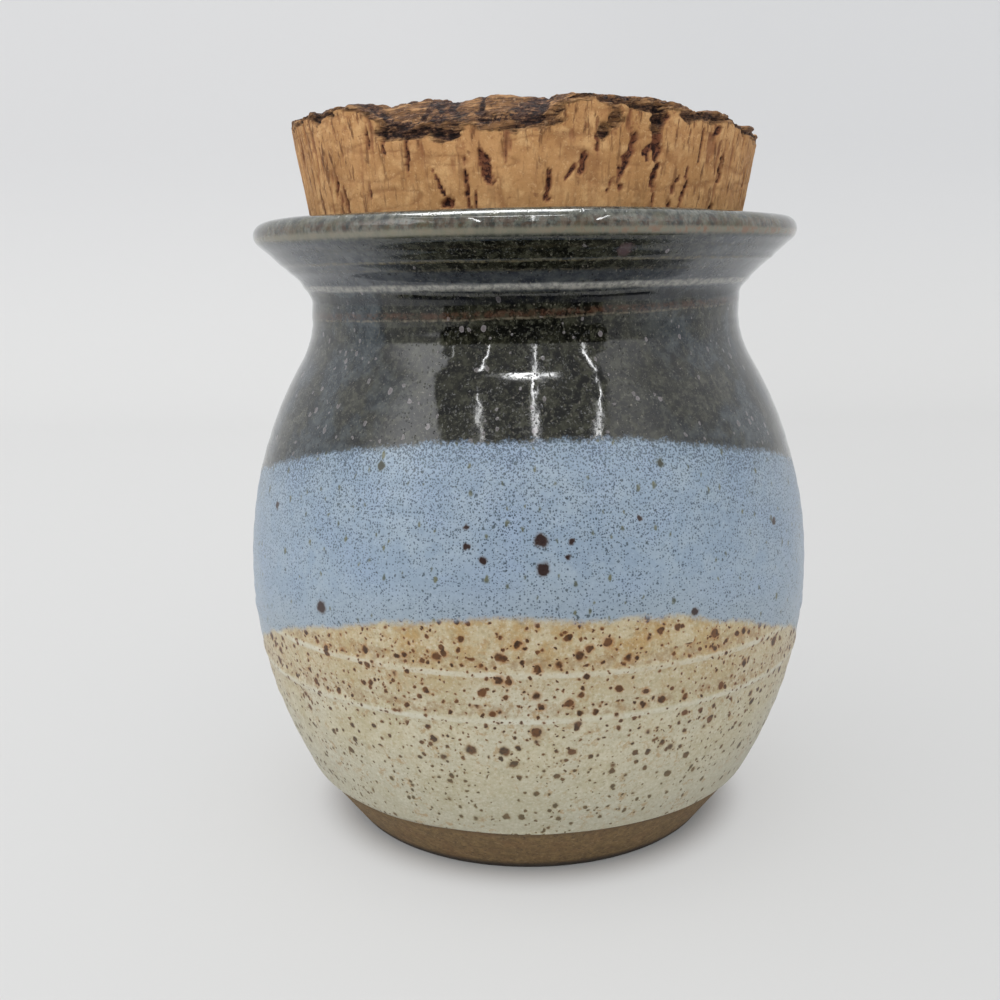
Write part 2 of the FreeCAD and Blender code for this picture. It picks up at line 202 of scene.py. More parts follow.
def low_circle(belly, corner):
    """Circle that is upright at the belly and passes through the corner below it."""
    side, rise = belly[0] - corner[0], belly[1] - corner[1]
    radius = (side ** 2 + rise ** 2) / (2 * side)
    return (belly[0] - radius, belly[1]), radius


def outside_profile():
    """The outside from under the foot to the lip: the bare pieces, and the glazed ones."""
    glaze_in = (GLAZE_LINE[0] - GLAZE_STEP, GLAZE_LINE_HEIGHT)
    low_centre, low_arc = low_circle(BELLY, GLAZE_LINE)
    high_centre, high_arc, neck_centre, meeting = wall_arcs(BELLY, NECK, NECK_ARC)
    start_angle = math.degrees(math.asin((GLAZE_LINE_HEIGHT - BELLY_HEIGHT) / low_arc))
    foot = (FOOT_RADIUS, 0)
    bare = [line_points((POLE_RADIUS, 0), (FOOT_RADIUS - 3, 0), 5.0),
            rounded_corner((0, 0), foot, glaze_in, FOOT_EDGE_ROUND, 0.25),
            line_points(np.array(foot) + 0.12 * (np.array(glaze_in) - foot), glaze_in, 0.7)]
    edge_angle = start_angle + math.degrees(2.2 * GLAZE_BEAD / low_arc)
    edge_point = arc_points(low_centre, low_arc, edge_angle, edge_angle + 1, 1)[0]
    edge = rounded_corner(glaze_in, (GLAZE_LINE[0], GLAZE_LINE[1] + 0.05), edge_point, GLAZE_BEAD, 0.12)
    flare_centre = (NECK_RADIUS + FLARE_ARC, MOUTH_START)
    apart = np.array(flare_centre) - LIP_CENTRE
    swing = math.acos((LIP_ROUND + FLARE_ARC) / np.linalg.norm(apart))
    facing = math.degrees(math.atan2(apart[1], apart[0]) + swing)
    flare_end = facing + 180 if facing < 0 else facing - 180
    flare = arc_points(flare_centre, FLARE_ARC, 180, flare_end, 0.4)
    lip = arc_points(LIP_CENTRE, LIP_ROUND, facing, 90, 0.3)
    glazed = [edge,
              arc_points(low_centre, low_arc, edge_angle, 0, 0.75),
              arc_points(high_centre, high_arc, 0, meeting, 0.7),
              arc_points(neck_centre, NECK_ARC, 180 + meeting, 180, 0.5),
              flare, line_points(flare[-1], lip[0], 0.4), lip]
    return bare, glazed


def inside_profile():
    """The inside from the lip down the throat and the wall to the middle of the floor."""
    lean = math.tan(math.radians(THROAT_ANGLE))
    throat_radius = NECK_RADIUS - NECK_WALL
    mouth = (throat_radius + (RIM_HEIGHT - THROAT_TOP) * lean, RIM_HEIGHT)
    throat = (throat_radius, THROAT_TOP)
    belly = (BELLY_RADIUS - BELLY_WALL, BELLY_HEIGHT)
    corner = (FLOOR_RADIUS, FLOOR_THICKNESS)
    high_centre, high_arc, neck_centre, meeting = wall_arcs(
        belly, (throat_radius, NECK_HEIGHT), NECK_ARC + NECK_WALL)
    low_centre, low_arc = low_circle(belly, corner)
    low_angle = math.degrees(math.asin((corner[1] - BELLY_HEIGHT) / low_arc))
    wall_point = arc_points(low_centre, low_arc, low_angle + 12, low_angle + 13, 1)[0]
    return [rounded_corner(LIP_CENTRE, mouth, throat, LIP_INNER_ROUND, 0.35),
            line_points((throat_radius + 1.5 * lean, THROAT_TOP + 1.5), throat, 0.8),
            line_points((throat_radius, THROAT_TOP - 0.5), (throat_radius, NECK_HEIGHT), 0.9),
            arc_points(neck_centre, NECK_ARC + NECK_WALL, 180, 180 + meeting, 1.4)[1:],
            arc_points(high_centre, high_arc, meeting, 0, 2.2)[1:],
            arc_points(low_centre, low_arc, 0, low_angle + 10, 2.2)[1:],
            rounded_corner(wall_point, corner, (0, FLOOR_THICKNESS), FLOOR_ROUND, 1.2),
            line_points((FLOOR_RADIUS - 9, FLOOR_THICKNESS), (POLE_RADIUS, FLOOR_THICKNESS), 5.0)]


def jar_profile():
    """Outline of half the jar, from under the foot up the outside and down the inside.

    Gives the points, and for each of them 1 or 0 for glazed and for inside.
    """
    bare, glazed = outside_profile()
    points, glaze, inner = [], [], []
    for pieces, is_glazed, is_inner in ((bare, 0, 0), (glazed, 1, 0), (inside_profile(), 1, 1)):
        for piece in pieces:
            for point in piece:
                if points and math.dist(points[-1], point) < SAME_POINT:
                    continue
                points.append(point)
                glaze.append(is_glazed)
                inner.append(is_inner)
    return np.array(points), np.array(glaze, float), np.array(inner, float)


# Ridges (and grooves, where the height is negative) that the potter's fingers left outside:
# height on the wall, how far it stands out, half width, how far it climbs to each side.
FINGER_RIDGES = [
    (37.6, 0.24, 0.7, 0.3), (46.2, 0.22, 0.7, -0.2), (29.5, 0.07, 0.7, 0.4),
    (49.4, 0.1, 0.5, -0.6), (105.4, 0.13, 0.8, 1.1), (107.9, -0.12, 1.0, 0.6),
    (110.1, 0.24, 0.8, 0.3), (112.4, 0.05, 0.6, -0.2), (114.4, 0.15, 0.45, 0.2),
]


def climb(angle):
    """How a ridge climbs round the jar: up towards the right of the front, and back behind."""
    return np.sin(angle)


JAR_COLUMNS = 300


def make_jar_mesh():
    """The profile turned once round, with finger ridges and a wavy glaze edge."""
    profile, glaze, inner = jar_profile()
    columns = JAR_COLUMNS
    angle = np.linspace(0, 2 * math.pi, columns, endpoint=False)[None, :]
    along = np.gradient(profile, axis=0)
    along /= np.linalg.norm(along, axis=1)[:, None]
    out = np.stack([along[:, 1], -along[:, 0]], axis=1)
    z = profile[:, 1:2]
    outside = ((1 - inner) * smooth(profile[:, 1], 12.5, 16.0))[:, None]
    lip = smooth(profile[:, 1], 117.0, 121.0)[:, None] * (1 - inner)[:, None]
    push = np.zeros((len(profile), columns))
    for height, rise, width, lean in FINGER_RIDGES:
        away = (z - height - lean * climb(angle)) / width
        uneven = 1 + 0.35 * np.sin(3 * angle + height) * np.sin(angle + 2 * height)
        push += outside * rise * uneven * np.exp(-away ** 2)
    turns = angle / (2 * math.pi)
    neck = smooth(z, 94, 103) * (1 - smooth(z, 117, 120))
    push += outside * neck * 0.03 * np.sin(2 * math.pi * (z / 2.3 - turns))
    calm = 0.035 - 0.025 * smooth(z, 80, 88)
    push += outside * (1 - neck) * (1 - lip) * calm * np.sin(2 * math.pi * (z / 4.1 - turns))
    push += outside * 0.16 * layered_noise(turns * 8 + 0 * z, z / 15 + 0 * turns, 11, 3, wrap=8)
    out_of_round = 0.16 * np.sin(2 * angle + 0.8) + 0.1 * np.sin(3 * angle + 2.0)
    push += outside * out_of_round * (1 - 0.7 * lip)
    edge = np.exp(-((z - GLAZE_LINE_HEIGHT) / 2.2) ** 2) * (1 - inner)[:, None]
    slide = edge * (0.28 * np.sin(3 * angle + 0.4) + 0.2 * np.sin(7 * angle + 1.9)
                    + 0.22 * value_noise(turns * 40 + 0 * z, 0 * z + 0 * turns, 5, wrap=40))
    radius = profile[:, 0:1] + push * out[:, 0:1] + slide * along[:, 0:1]
    height = z + push * out[:, 1:2] + slide * along[:, 1:2]
    height = height + 0.22 * lip * np.sin(2 * angle + 2.6) + 0.1 * lip * np.sin(5 * angle)
    rings = np.stack([radius * np.sin(angle), -radius * np.cos(angle), height + 0 * radius], axis=2)
    whole = np.ones((1, columns))
    return ring_mesh("stoneware_jar", rings,
                     {"glazed": glaze[:, None] * whole, "inner": inner[:, None] * whole},
                     pole_low=(0, 0, 0), pole_high=(0, 0, FLOOR_THICKNESS))


# Lenticels on the front of the stopper: angle, height, half length, half width, lean, depth.
LENTICELS = [
    (-51.9, 128.2, 2.2, 0.65, 6, 1.0), (-48.6, 124.1, 3.2, 0.6, -10, 0.9),
    (-56.5, 133.6, 3.0, 0.25, 3, 0.7), (-38.5, 135.2, 1.7, 0.4, -8, 0.7),
    (-28.2, 132.2, 4.2, 0.45, 0, 1.0), (-33.8, 133.9, 1.8, 0.35, 0, 0.7),
    (-20.6, 127.2, 2.6, 0.36, -22, 0.5), (-17.7, 124.3, 1.2, 1.3, -30, 1.2),
    (-14.0, 126.6, 4.6, 0.5, -3, 0.9), (-12.2, 124.6, 2.4, 0.25, 2, 0.7),
    (-9.7, 129.4, 3.1, 1.0, -10, 0.8), (-5.6, 131.2, 1.5, 0.35, 0, 0.5),
    (3.7, 127.3, 3.6, 0.6, 0, 0.9), (8.6, 128.6, 2.2, 0.5, 40, 0.5),
    (10.8, 130.6, 2.0, 0.75, 18, 0.7), (14.2, 133.0, 1.7, 0.5, 0, 0.8),
    (17.6, 126.9, 1.4, 0.3, 10, 0.5), (22.3, 134.4, 1.3, 0.75, 10, 1.1),
    (21.0, 130.0, 4.2, 0.8, 12, 0.7), (28.6, 134.8, 5.2, 1.0, 5, 1.0),
    (26.2, 132.0, 1.6, 0.7, 0, 0.7), (28.6, 127.4, 4.6, 0.55, 2, 1.0),
    (34.4, 125.3, 4.2, 0.5, 12, 0.9), (36.9, 124.5, 3.6, 0.35, 14, 0.7),
    (37.6, 129.4, 1.9, 0.35, 6, 0.5), (40.9, 133.4, 2.6, 0.3, 4, 0.6),
    (50.0, 130.7, 4.2, 0.7, 6, 1.1), (48.2, 123.2, 1.4, 1.0, 25, 1.2),
    (65.5, 127.6, 3.6, 0.55, 4, 0.9), (-68.1, 134.6, 3.0, 0.35, 0, 0.6),
    (-39.3, 126.4, 2.0, 0.2, 0, 0.4), (46.6, 136.2, 0.8, 0.7, 0, 0.7),
]

# Places where the dark, crumbling bark shows on the side: angle, height, half width, half height.
BARK_PATCHES = [
    (-29.5, 136.3, 7.0, 1.7), (-18.5, 137.4, 4.4, 3.1), (-9.5, 137.0, 2.4, 1.3),
    (-0.5, 136.8, 7.4, 2.1), (15.2, 134.9, 1.3, 1.5), (17.6, 137.4, 1.5, 1.8),
    (27.8, 137.2, 1.9, 2.6), (118.0, 136.6, 9.0, 2.0), (158.0, 137.6, 5.0, 2.6),
    (-150.0, 137.0, 11.0, 1.8), (-104.0, 137.8, 6.0, 2.2),
]


LENTICELS_BEHIND = 40


def all_lenticels():
    """The ones at the front, and others like them over the sides and back."""
    rng = np.random.default_rng(31)
    found = list(LENTICELS)
    for _ in range(LENTICELS_BEHIND):
        found.append((rng.uniform(76, 284), rng.uniform(116, 136), rng.uniform(1.2, 4.6),
                      rng.uniform(0.25, 0.95), rng.uniform(-14, 14), rng.uniform(0.5, 1.1)))
    return found


def side_radius(z):
    """Radius of the stopper's side."""
    return STOPPER_RADIUS + (z - STOPPER_BASE) * math.tan(math.radians(STOPPER_ANGLE))


def side_shift(z):
    """The stopper was cut by eye: above the mouth it leans a little towards +X."""
    return (0.5 + 0.0157 * (z - 127)) * smooth(z, 112, 124)


def bark_surface(x, y):
    """Height of the bark at a place, and how deep in a crevice the place is, from 0 to 1."""
    wander = 0.28 * FURROW_SPACING * np.sin(y / (1.1 * FURROW_SPACING) + 0.6)
    ripple = 0.5 - 0.5 * np.cos(2 * math.pi * (x + wander) / FURROW_SPACING + 0.9)
    plate = 0.62 + 0.38 * np.sin(2 * math.pi * (y + 0.3 * x) / (1.9 * FURROW_SPACING)
                                 + 1.7 * np.sin(x / FURROW_SPACING))
    furrow = BARK_RELIEF * ((1 - ripple ** 0.6) * plate + 0.25 * (1 - plate))
    fall = 4.2 * np.maximum(0, x / STOPPER_EDGE) ** 1.5
    reach, angle = np.hypot(x, y), np.degrees(np.arctan2(x, -y))
    broken = (smooth(reach, STOPPER_EDGE - 9, STOPPER_EDGE) * smooth(angle, -44, -28)
              * (1 - smooth(angle, -4, 12)))
    warp_x = x + 2.4 * layered_noise(x / 7, y / 7, 41, 3)
    warp_y = y + 2.4 * layered_noise(x / 7, y / 7, 51, 3)
    ridged = 1 - np.abs(layered_noise(warp_x / 5.2, warp_y / 9.5, 71, 3, fall=0.6)) * 2.6
    flakes = 0.5 + 0.5 * layered_noise(warp_x / 3.4, warp_y / 5.0, 81, 3, fall=0.6)
    step = flakes * 6
    terrace = (np.floor(step) + smooth(step - np.floor(step), 0.7, 1.0)) / 6
    crevice = smooth(ridged, 0.45, 0.95)
    edge = smooth(reach, STOPPER_EDGE - 2.2, STOPPER_EDGE)
    ragged = np.abs(layered_noise(angle / 360 * 74, 0 * angle + 3.5, 61, 3, wrap=74))
    height = (STOPPER_TOP - 0.45 - 0.4 * furrow - fall - 4.4 * broken + 0.8 * (terrace - 0.5)
              - 0.4 * crevice - 0.35 * edge * ragged - 0.5 * smooth(reach, 41, 47)
              + 0.12 * layered_noise(x / 0.9, y / 1.3, 91, 2))
    depth = np.clip(0.8 * crevice + 0.25 * (1 - ripple ** 0.6) * plate
                    + 0.4 * smooth(0.5 - terrace, 0.0, 0.35), 0, 1)
    return np.minimum(height, 142.7), depth


def bark_patches(angle, z):
    """How much of the dark, crumbling bark shows at a place near the edge, from 0 to 1."""
    rough = layered_noise(angle / 360 * 60, (z - 0.05 * angle) / 1.1, 171, 3, wrap=60)
    found = 0 * z
    for place, height, half_width, half_height in BARK_PATCHES:
        off = (angle - place + 180) % 360 - 180
        inside = 1 - (off / half_width) ** 2 - ((z - height) / half_height) ** 2 + 1.1 * rough
        found = np.maximum(found, smooth(inside, 0.0, 0.5))
    return found


def flaky(angle, z):
    """Thin flakes lying one over another, rising a little to the right, from -1 to 1."""
    level = z - 0.045 * angle + 0.9 * layered_noise(angle / 360 * 30, z / 4, 181, 2, wrap=30)
    layers = layered_noise(angle / 360 * 44, level / 0.75, 191, 2, wrap=44)
    return np.clip(2.2 * layers, -1, 1)


CORK_COLUMNS = 640
CORK_ROWS = 84


def lenticel_pits(degrees, z):
    """How far inside a lenticel each place on the side is, and how deep it is dented there."""
    radius = side_radius(z)
    pit, dent = np.zeros_like(z), np.zeros_like(z)
    for place, height, half_length, half_width, lean, depth in all_lenticels():
        off = (degrees[None, :] - place + 180) % 360 - 180
        across = np.radians(off) * radius
        up = z - height
        turn = math.radians(lean)
        side = across * math.cos(turn) - up * math.sin(turn)
        rise = across * math.sin(turn) + up * math.cos(turn)
        near = (np.abs(side) < 4 * half_width + 2) & (np.abs(rise) < 2 * half_length + 2)
        wobble, bend = np.zeros_like(z), np.zeros_like(z)
        wobble[near] = layered_noise(across[near] / 0.9 + place, up[near] / 1.3 + height, 101, 3)
        bend[near] = 0.9 * half_width * value_noise(rise[near] / 2.2 + place, 0 * rise[near], 107)
        inside = 1 - ((side + bend) / half_width) ** 2 - (rise / half_length) ** 2 + 1.5 * wobble
        inside = np.where(near, inside, -1)
        pit = np.maximum(pit, smooth(inside, -0.1, 0.75))
        dent = np.maximum(dent, depth * smooth(inside, -0.1, 1.3))
    return pit, dent


def stopper_side(angle, degrees, edge_z):
    """Rows of points up the side, and its pits, bark, crevices and growth lines."""
    share = 1 - (1 - np.linspace(0, 1, CORK_ROWS)[:, None]) ** 1.35
    low_z = STOPPER_BASE + STOPPER_EDGE_ROUND
    z = low_z + (edge_z[None, :] - low_z) * share
    pit, dent = lenticel_pits(degrees, z)
    column = (angle / (2 * math.pi))[None, :] + 0 * z
    edgeward = smooth(np.abs(degrees), 26, 58)[None, :]
    near_top = smooth(z, edge_z[None, :] - 10, edge_z[None, :] - 1)
    streak = layered_noise(column * 300, z / 14, 111, 3, wrap=300)
    cracks = smooth(layered_noise(column * 210, z / 7, 121, 3, wrap=210), 0.3, 0.6)
    cracks = cracks * (0.12 + 0.88 * np.maximum(0.75 * edgeward, near_top))
    slow = layered_noise(column * 9, z / 9, 133, 2, wrap=9)
    growth = layered_noise(column * 20, z / 3.1 + 0.3 * slow, 131, 2, wrap=20)
    lines = smooth(1 - np.abs(growth) * 9, 0.2, 1.0)
    swell = layered_noise(column * 14, z / 9, 141, 2, wrap=14)
    band = 1.3 + 1.0 * layered_noise(column[:1] * 26, 0 * column[:1] + 7.5, 151, 3, wrap=26)
    torn = 1.5 * layered_noise(column * 110, z / 1.2, 161, 3, wrap=110)
    flaked = smooth(z - edge_z[None, :] + band + torn, -0.35, 0.35)
    patches = bark_patches(degrees[None, :] + 0 * z, z)
    mottled = smooth(layered_noise(column * 60, z / 3.5, 201, 2, wrap=60), -0.35, 0.25)
    leaves = flaky(degrees[None, :] + 0 * z, z)
    bark_share = np.maximum(flaked, patches)
    push = (0.07 * streak * (0.5 + edgeward) - 0.09 * lines + 0.16 * swell - dent - 0.45 * cracks
            + 0.45 * (leaves - 1) * bark_share - 0.5 * patches)
    push *= smooth(z, STOPPER_BASE + 6, STOPPER_BASE + 14)
    radius = np.minimum(side_radius(z) + push, STOPPER_EDGE + 0.1)
    side = np.stack([radius * np.sin(angle) + side_shift(z), -radius * np.cos(angle), z], axis=2)
    dark = patches * (0.2 + 0.8 * mottled) * (0.8 - 0.5 * leaves)
    dark = np.clip(dark + 0.5 * flaked * smooth(-leaves, 0.0, 0.6), 0, 1)
    return side, {"pit": np.maximum(pit, 0.7 * cracks), "bark": bark_share, "crevice": dark, "lines": lines}


def stopper_top(angle, degrees, edge_radius):
    """Rings of points on the bark, from the edge inwards, and how deep in a crevice they are."""
    top, crevice = [], []
    for part in np.concatenate([np.linspace(0.996, 0.76, 36), np.linspace(0.74, 0.04, 28)]):
        r = edge_radius * part
        x, y = r * np.sin(angle), -r * np.cos(angle)
        height, depth = bark_surface(x, y)
        rim = 1 - smooth(np.array(part), 0.76, 0.98)
        leaves = flaky(degrees, height) * (1 - rim)
        height = height + 0.35 * leaves
        depth = np.maximum(depth, bark_patches(degrees, height) * (0.75 - 0.5 * leaves) * (1 - rim))
        shift = side_shift(height) * float(smooth(np.array(part), 0.1, 0.9))
        top.append(np.stack([x + shift, y, height], axis=1))
        crevice.append(depth)
    return np.array(top), np.array(crevice)


def stopper_base(angle):
    """Three rings under the stopper, out to its rounded lower edge."""
    rings = []
    for r, height in ((4.0, STOPPER_BASE), (STOPPER_RADIUS - STOPPER_EDGE_ROUND, STOPPER_BASE),
                      (STOPPER_RADIUS - 0.12, STOPPER_BASE + 0.25)):
        rings.append(np.stack([r * np.sin(angle), -r * np.cos(angle), np.full(len(angle), height)], axis=1))
    return np.array(rings)


def make_cork_mesh():
    angle = np.linspace(0, 2 * math.pi, CORK_COLUMNS, endpoint=False)
    degrees = np.where(angle > math.pi, angle - 2 * math.pi, angle) * 180 / math.pi
    # the side and the bark meet where both have the same height
    edge_r = np.full(CORK_COLUMNS, side_radius(140.0))
    for _ in range(6):
        edge_z = bark_surface(edge_r * np.sin(angle), -edge_r * np.cos(angle))[0]
        edge_r = side_radius(edge_z)
    base = stopper_base(angle)
    side, side_layers = stopper_side(angle, degrees, edge_z)
    edge_radius = np.hypot(side[-1, :, 0] - side_shift(edge_z), side[-1, :, 1])
    top, crevice = stopper_top(angle, degrees, edge_radius)
    blank = np.zeros_like(crevice)
    top_layers = {"pit": blank, "bark": blank + 1, "crevice": crevice, "lines": blank}
    layers = {}
    for label, values in side_layers.items():
        layers[label] = np.concatenate([np.zeros(base.shape[:2]), values, top_layers[label]])
    middle = bark_surface(np.array([0.0]), np.array([0.0]))[0]
    return ring_mesh("cork_stopper", np.concatenate([base, side, top]), layers,
                     pole_low=(0, 0, STOPPER_BASE), pole_high=(0, 0, float(middle[0])))


# ---------------------------------------------------------------- materials
def srgb(red, green, blue):
    """A colour as seen on a screen, 0 to 255, as Blender's linear colour."""
    channels = []
    for value in (red, green, blue):
        value /= 255
        channels.append(value / 12.92 if value <= 0.04045 else ((value + 0.055) / 1.055) ** 2.4)
    return (*channels, 1.0)


def grey(level):
    """A roughness or a grey as a colour."""
    return (level, level, level, 1)


class Graph:
    """Short calls that add nodes to one tree and join them."""

    def __init__(self, tree):
        self.tree = tree
        tree.nodes.clear()

    def add(self, kind, values=(), **settings):
        node = self.tree.nodes.new(kind)
        for name, value in settings.items():
            setattr(node, name, value)
        for name, value in dict(values).items():
            self.give(node.inputs[name], value)
        return node

    def give(self, socket, value):
        if isinstance(value, bpy.types.NodeSocket):
            self.tree.links.new(value, socket)
        else:
            socket.default_value = value

    def math(self, operation, *values):
        return self.add("ShaderNodeMath", dict(enumerate(values)), operation=operation).outputs[0]

    def chain(self, operation, values):
        found = values[0]
        for value in values[1:]:
            found = self.math(operation, found, value)
        return found

    def times(self, *values):
        return self.chain("MULTIPLY", values)

    def plus(self, *values):
        return self.chain("ADD", values)

    def minus(self, *values):
        return self.chain("SUBTRACT", values)

    def most(self, *values):
        return self.chain("MAXIMUM", values)

    def size(self, value):
        """The value without its sign."""
        return self.math("ABSOLUTE", value)

    def linear(self, value, slope, start):
        return self.math("MULTIPLY_ADD", value, slope, start)

    def sway(self, noise, reach):
        """Noise about 0.5 as a swing about 0."""
        return self.times(self.minus(noise, 0.5), reach)

    def degrees(self, value):
        return self.times(value, 180 / math.pi)

    def vector(self, operation, *values, output=0):
        return self.add("ShaderNodeVectorMath", dict(enumerate(values)),
                        operation=operation).outputs[output]

    def ramp(self, value, low, high, first=0.0, last=1.0):
        """Runs from first to last as value goes from low to high, easing at both ends."""
        return self.add("ShaderNodeMapRange", {"Value": value, "From Min": low, "From Max": high,
                                               "To Min": first, "To Max": last},
                        interpolation_type="SMOOTHSTEP").outputs[0]

    def window(self, value, low, high, soft):
        """1 between low and high, 0 outside, with soft edges."""
        return self.times(self.ramp(value, low - soft, low + soft),
                          self.ramp(value, high + soft, high - soft))

    def blend(self, share, under, over):
        """A number between two others."""
        return self.add("ShaderNodeMix", {0: share, 2: under, 3: over}).outputs[0]

    def mix(self, share, first, second):
        """A colour between two others; a colour of three numbers runs from 0 to 255."""
        node = self.add("ShaderNodeMix", data_type="RGBA")
        self.give(node.inputs[0], share)
        for index, colour in ((6, first), (7, second)):
            three = isinstance(colour, tuple) and len(colour) == 3
            self.give(node.inputs[index], srgb(*colour) if three else colour)
        return node.outputs[2]

    def between(self, value, low, high, first, second):
        """Runs from one colour to another as value goes from low to high."""
        return self.mix(self.ramp(value, low, high), first, second)

    def coats(self, base, *layers):
        """Lays colours over base in turn.

        A layer ends with its colour. Before that come its share, or a value and its share, or
        a value, where it starts to show, where it is full, and its share there.
        """
        for *share, colour in layers:
            if len(share) == 4:
                share = [self.ramp(*share[:3], 0.0, share[3])]
            base = self.mix(self.times(*share), base, colour)
        return base

    def noise(self, place, size, detail=2.0, roughness=0.5, stretch=(1, 1, 1)):
        """Noise about 0.5 whose features are this many millimetres wide."""
        at = self.vector("MULTIPLY", place, tuple(1 / (size * s) for s in stretch))
        return self.add("ShaderNodeTexNoise", {"Vector": at, "Scale": 1.0, "Detail": detail,
                                               "Roughness": roughness}).outputs[0]

    def cells(self, place, size):
        """Distance from the middle of the nearest cell in cell sizes, and two random numbers."""
        at = self.vector("MULTIPLY", place, (1 / size, 1 / size, 1 / size))
        node = self.add("ShaderNodeTexVoronoi", {"Vector": at, "Scale": 1.0}, voronoi_dimensions="2D")
        apart = self.add("ShaderNodeSeparateColor", {"Color": node.outputs["Color"]})
        return node.outputs["Distance"], apart.outputs[0], apart.outputs[1]

    def attribute(self, name):
        return self.add("ShaderNodeAttribute", attribute_name=name).outputs["Fac"]

    def apart(self, vector):
        """The x, y and z of a vector."""
        return self.add("ShaderNodeSeparateXYZ", {"Vector": vector}).outputs[:]

    def from_axis(self, x, y):
        return self.math("SQRT", self.plus(self.times(x, x), self.times(y, y)))

    def heading(self, x, y):
        """The angle from the front, -Y, towards +X."""
        return self.math("ARCTAN2", x, self.times(y, -1.0))

    def surface(self, colour, roughness, relief, **settings):
        """A shader whose relief is in millimetres; settings are the same all over."""
        bump = self.add("ShaderNodeBump", {"Height": relief, "Strength": 1.0, "Distance": MM})
        shader = self.add("ShaderNodeBsdfPrincipled", {"Base Color": colour, "Roughness": roughness,
                                                       "Normal": bump.outputs[0]})
        for name, value in settings.items():
            shader.inputs[name].default_value = value
        self.add("ShaderNodeOutputMaterial", {"Surface": shader.outputs[0]})


def new_material(name):
    material = bpy.data.materials.new(name)
    material.use_nodes = True
    return material, Graph(material.node_tree)


def object_place(graph):
    """Where a point is on the object in millimetres, and its x, y and z."""
    place = graph.vector("MULTIPLY", graph.add("ShaderNodeTexCoord").outputs["Object"],
                         (1000.0, 1000.0, 1000.0))
    return (place, *graph.apart(place))


# Iron spots that catch the eye: angle, height, radius.
DARK_SPOTS = [
    (1.1, 69.0, 1.25), (1.4, 64.3, 1.15), (-40.6, 54.4, 1.25), (-11.6, 71.0, 0.6),
    (-11.4, 67.9, 0.65), (-8.6, 65.6, 0.7), (5.6, 66.2, 0.6), (23.9, 80.3, 0.85),
    (6.2, 68.6, 0.6), (28.4, 54.7, 0.8), (-58.1, 70.2, 0.8), (51.7, 67.0, 0.75),
    (18.5, 71.7, 0.5), (-29.1, 80.3, 0.8), (-12.6, 54.6, 0.75),
]
BROWN_SPOTS = [
    (12.1, 51.4, 0.92), (9.0, 50.4, 0.72), (0.2, 47.2, 0.80), (5.5, 40.7, 0.88), (1.0, 40.1, 0.72),
    (0.1, 35.3, 1.08), (-18.6, 33.0, 0.80), (6.3, 31.1, 0.84), (-4.1, 28.9, 0.88), (-16.7, 24.0, 0.60),
    (18.8, 39.1, 0.72), (19.2, 41.6, 0.68), (-6.2, 45.2, 0.84), (-4.6, 44.9, 0.72), (-31.0, 33.5, 0.48),
    (-3.0, 51.6, 0.80), (33.0, 50.0, 0.88), (24.0, 30.5, 0.64), (-40.0, 47.0, 0.72), (-15.5, 49.6, 0.72),
]
FLARE_BLOTCH = [(17.6, 117.0, 2.4)]
# Specks are strewn one to a cell: cell size, least and greatest radius in cells, share of cells.
IRON_SPECKS = [
    (6.3, 0.05, 0.15, 0.4), (3.3, 0.07, 0.22, 0.62), (2.3, 0.07, 0.2, 0.55), (1.5, 0.07, 0.17, 0.4),
]
# Cell size, least and greatest radius in cells, and how far the layer is moved.
BLUE_PEPPER = [(0.62, 0.12, 0.32, 0.0), (0.5, 0.12, 0.34, 7.3), (0.56, 0.11, 0.3, 13.1)]
# Thin lines of glaze on the cream: height, climb to the right.
CREAM_RINGS = [(46.2, -0.2), (37.6, 0.3)]
# Glaze over and between the ridges: height, climb, half width, share kept everywhere, share
# that comes and goes, colour.
NECK_RIDGES = [
    (108.0, 0.4, 1.1, 0.4, 0.2, (20, 22, 30)), (111.9, 0.1, 0.9, 0.1, 0.3, (62, 66, 72)),
    (110.1, 0.3, 0.8, 0.4, 0.5, (152, 150, 142)), (105.7, 1.1, 0.9, 0.05, 0.45, (86, 58, 44)),
    (104.9, 1.1, 0.3, 0.0, 0.4, (128, 116, 98)), (114.4, 0.2, 0.35, 0.1, 0.35, (116, 106, 80)),
    (112.9, -0.2, 0.3, 0.0, 0.3, (96, 88, 70)), (116.6, 0.1, 0.4, 0.0, 0.3, (66, 60, 46)),
]
DARK_LINE = 85.0          # height at the front where the dark glaze ends
DARK_LINE_FALL = 14.2     # how much lower it ends at the sides and behind
BLUE_LINE = 56.1
BLUE_LINE_FALL = 22.9
FLARE_START = 98.0        # above this a listed spot is on the flare, at this radius
FLARE_SPOT_RADIUS = 50.5
WALL_SPREAD = 56.0        # radius at which the wall is laid flat for the specks


def on_jar(angle, height):
    """The point of the jar's outside at this angle and height."""
    centre, arc = low_circle(BELLY, GLAZE_LINE)
    if height >= BELLY_HEIGHT:
        centre, arc = wall_arcs(BELLY, NECK, NECK_ARC)[:2]
    radius = FLARE_SPOT_RADIUS
    if height < FLARE_START:
        radius = centre[0] + math.sqrt(arc ** 2 - (height - BELLY_HEIGHT) ** 2)
    turn = math.radians(angle)
    return (radius * math.sin(turn), -radius * math.cos(turn), height)


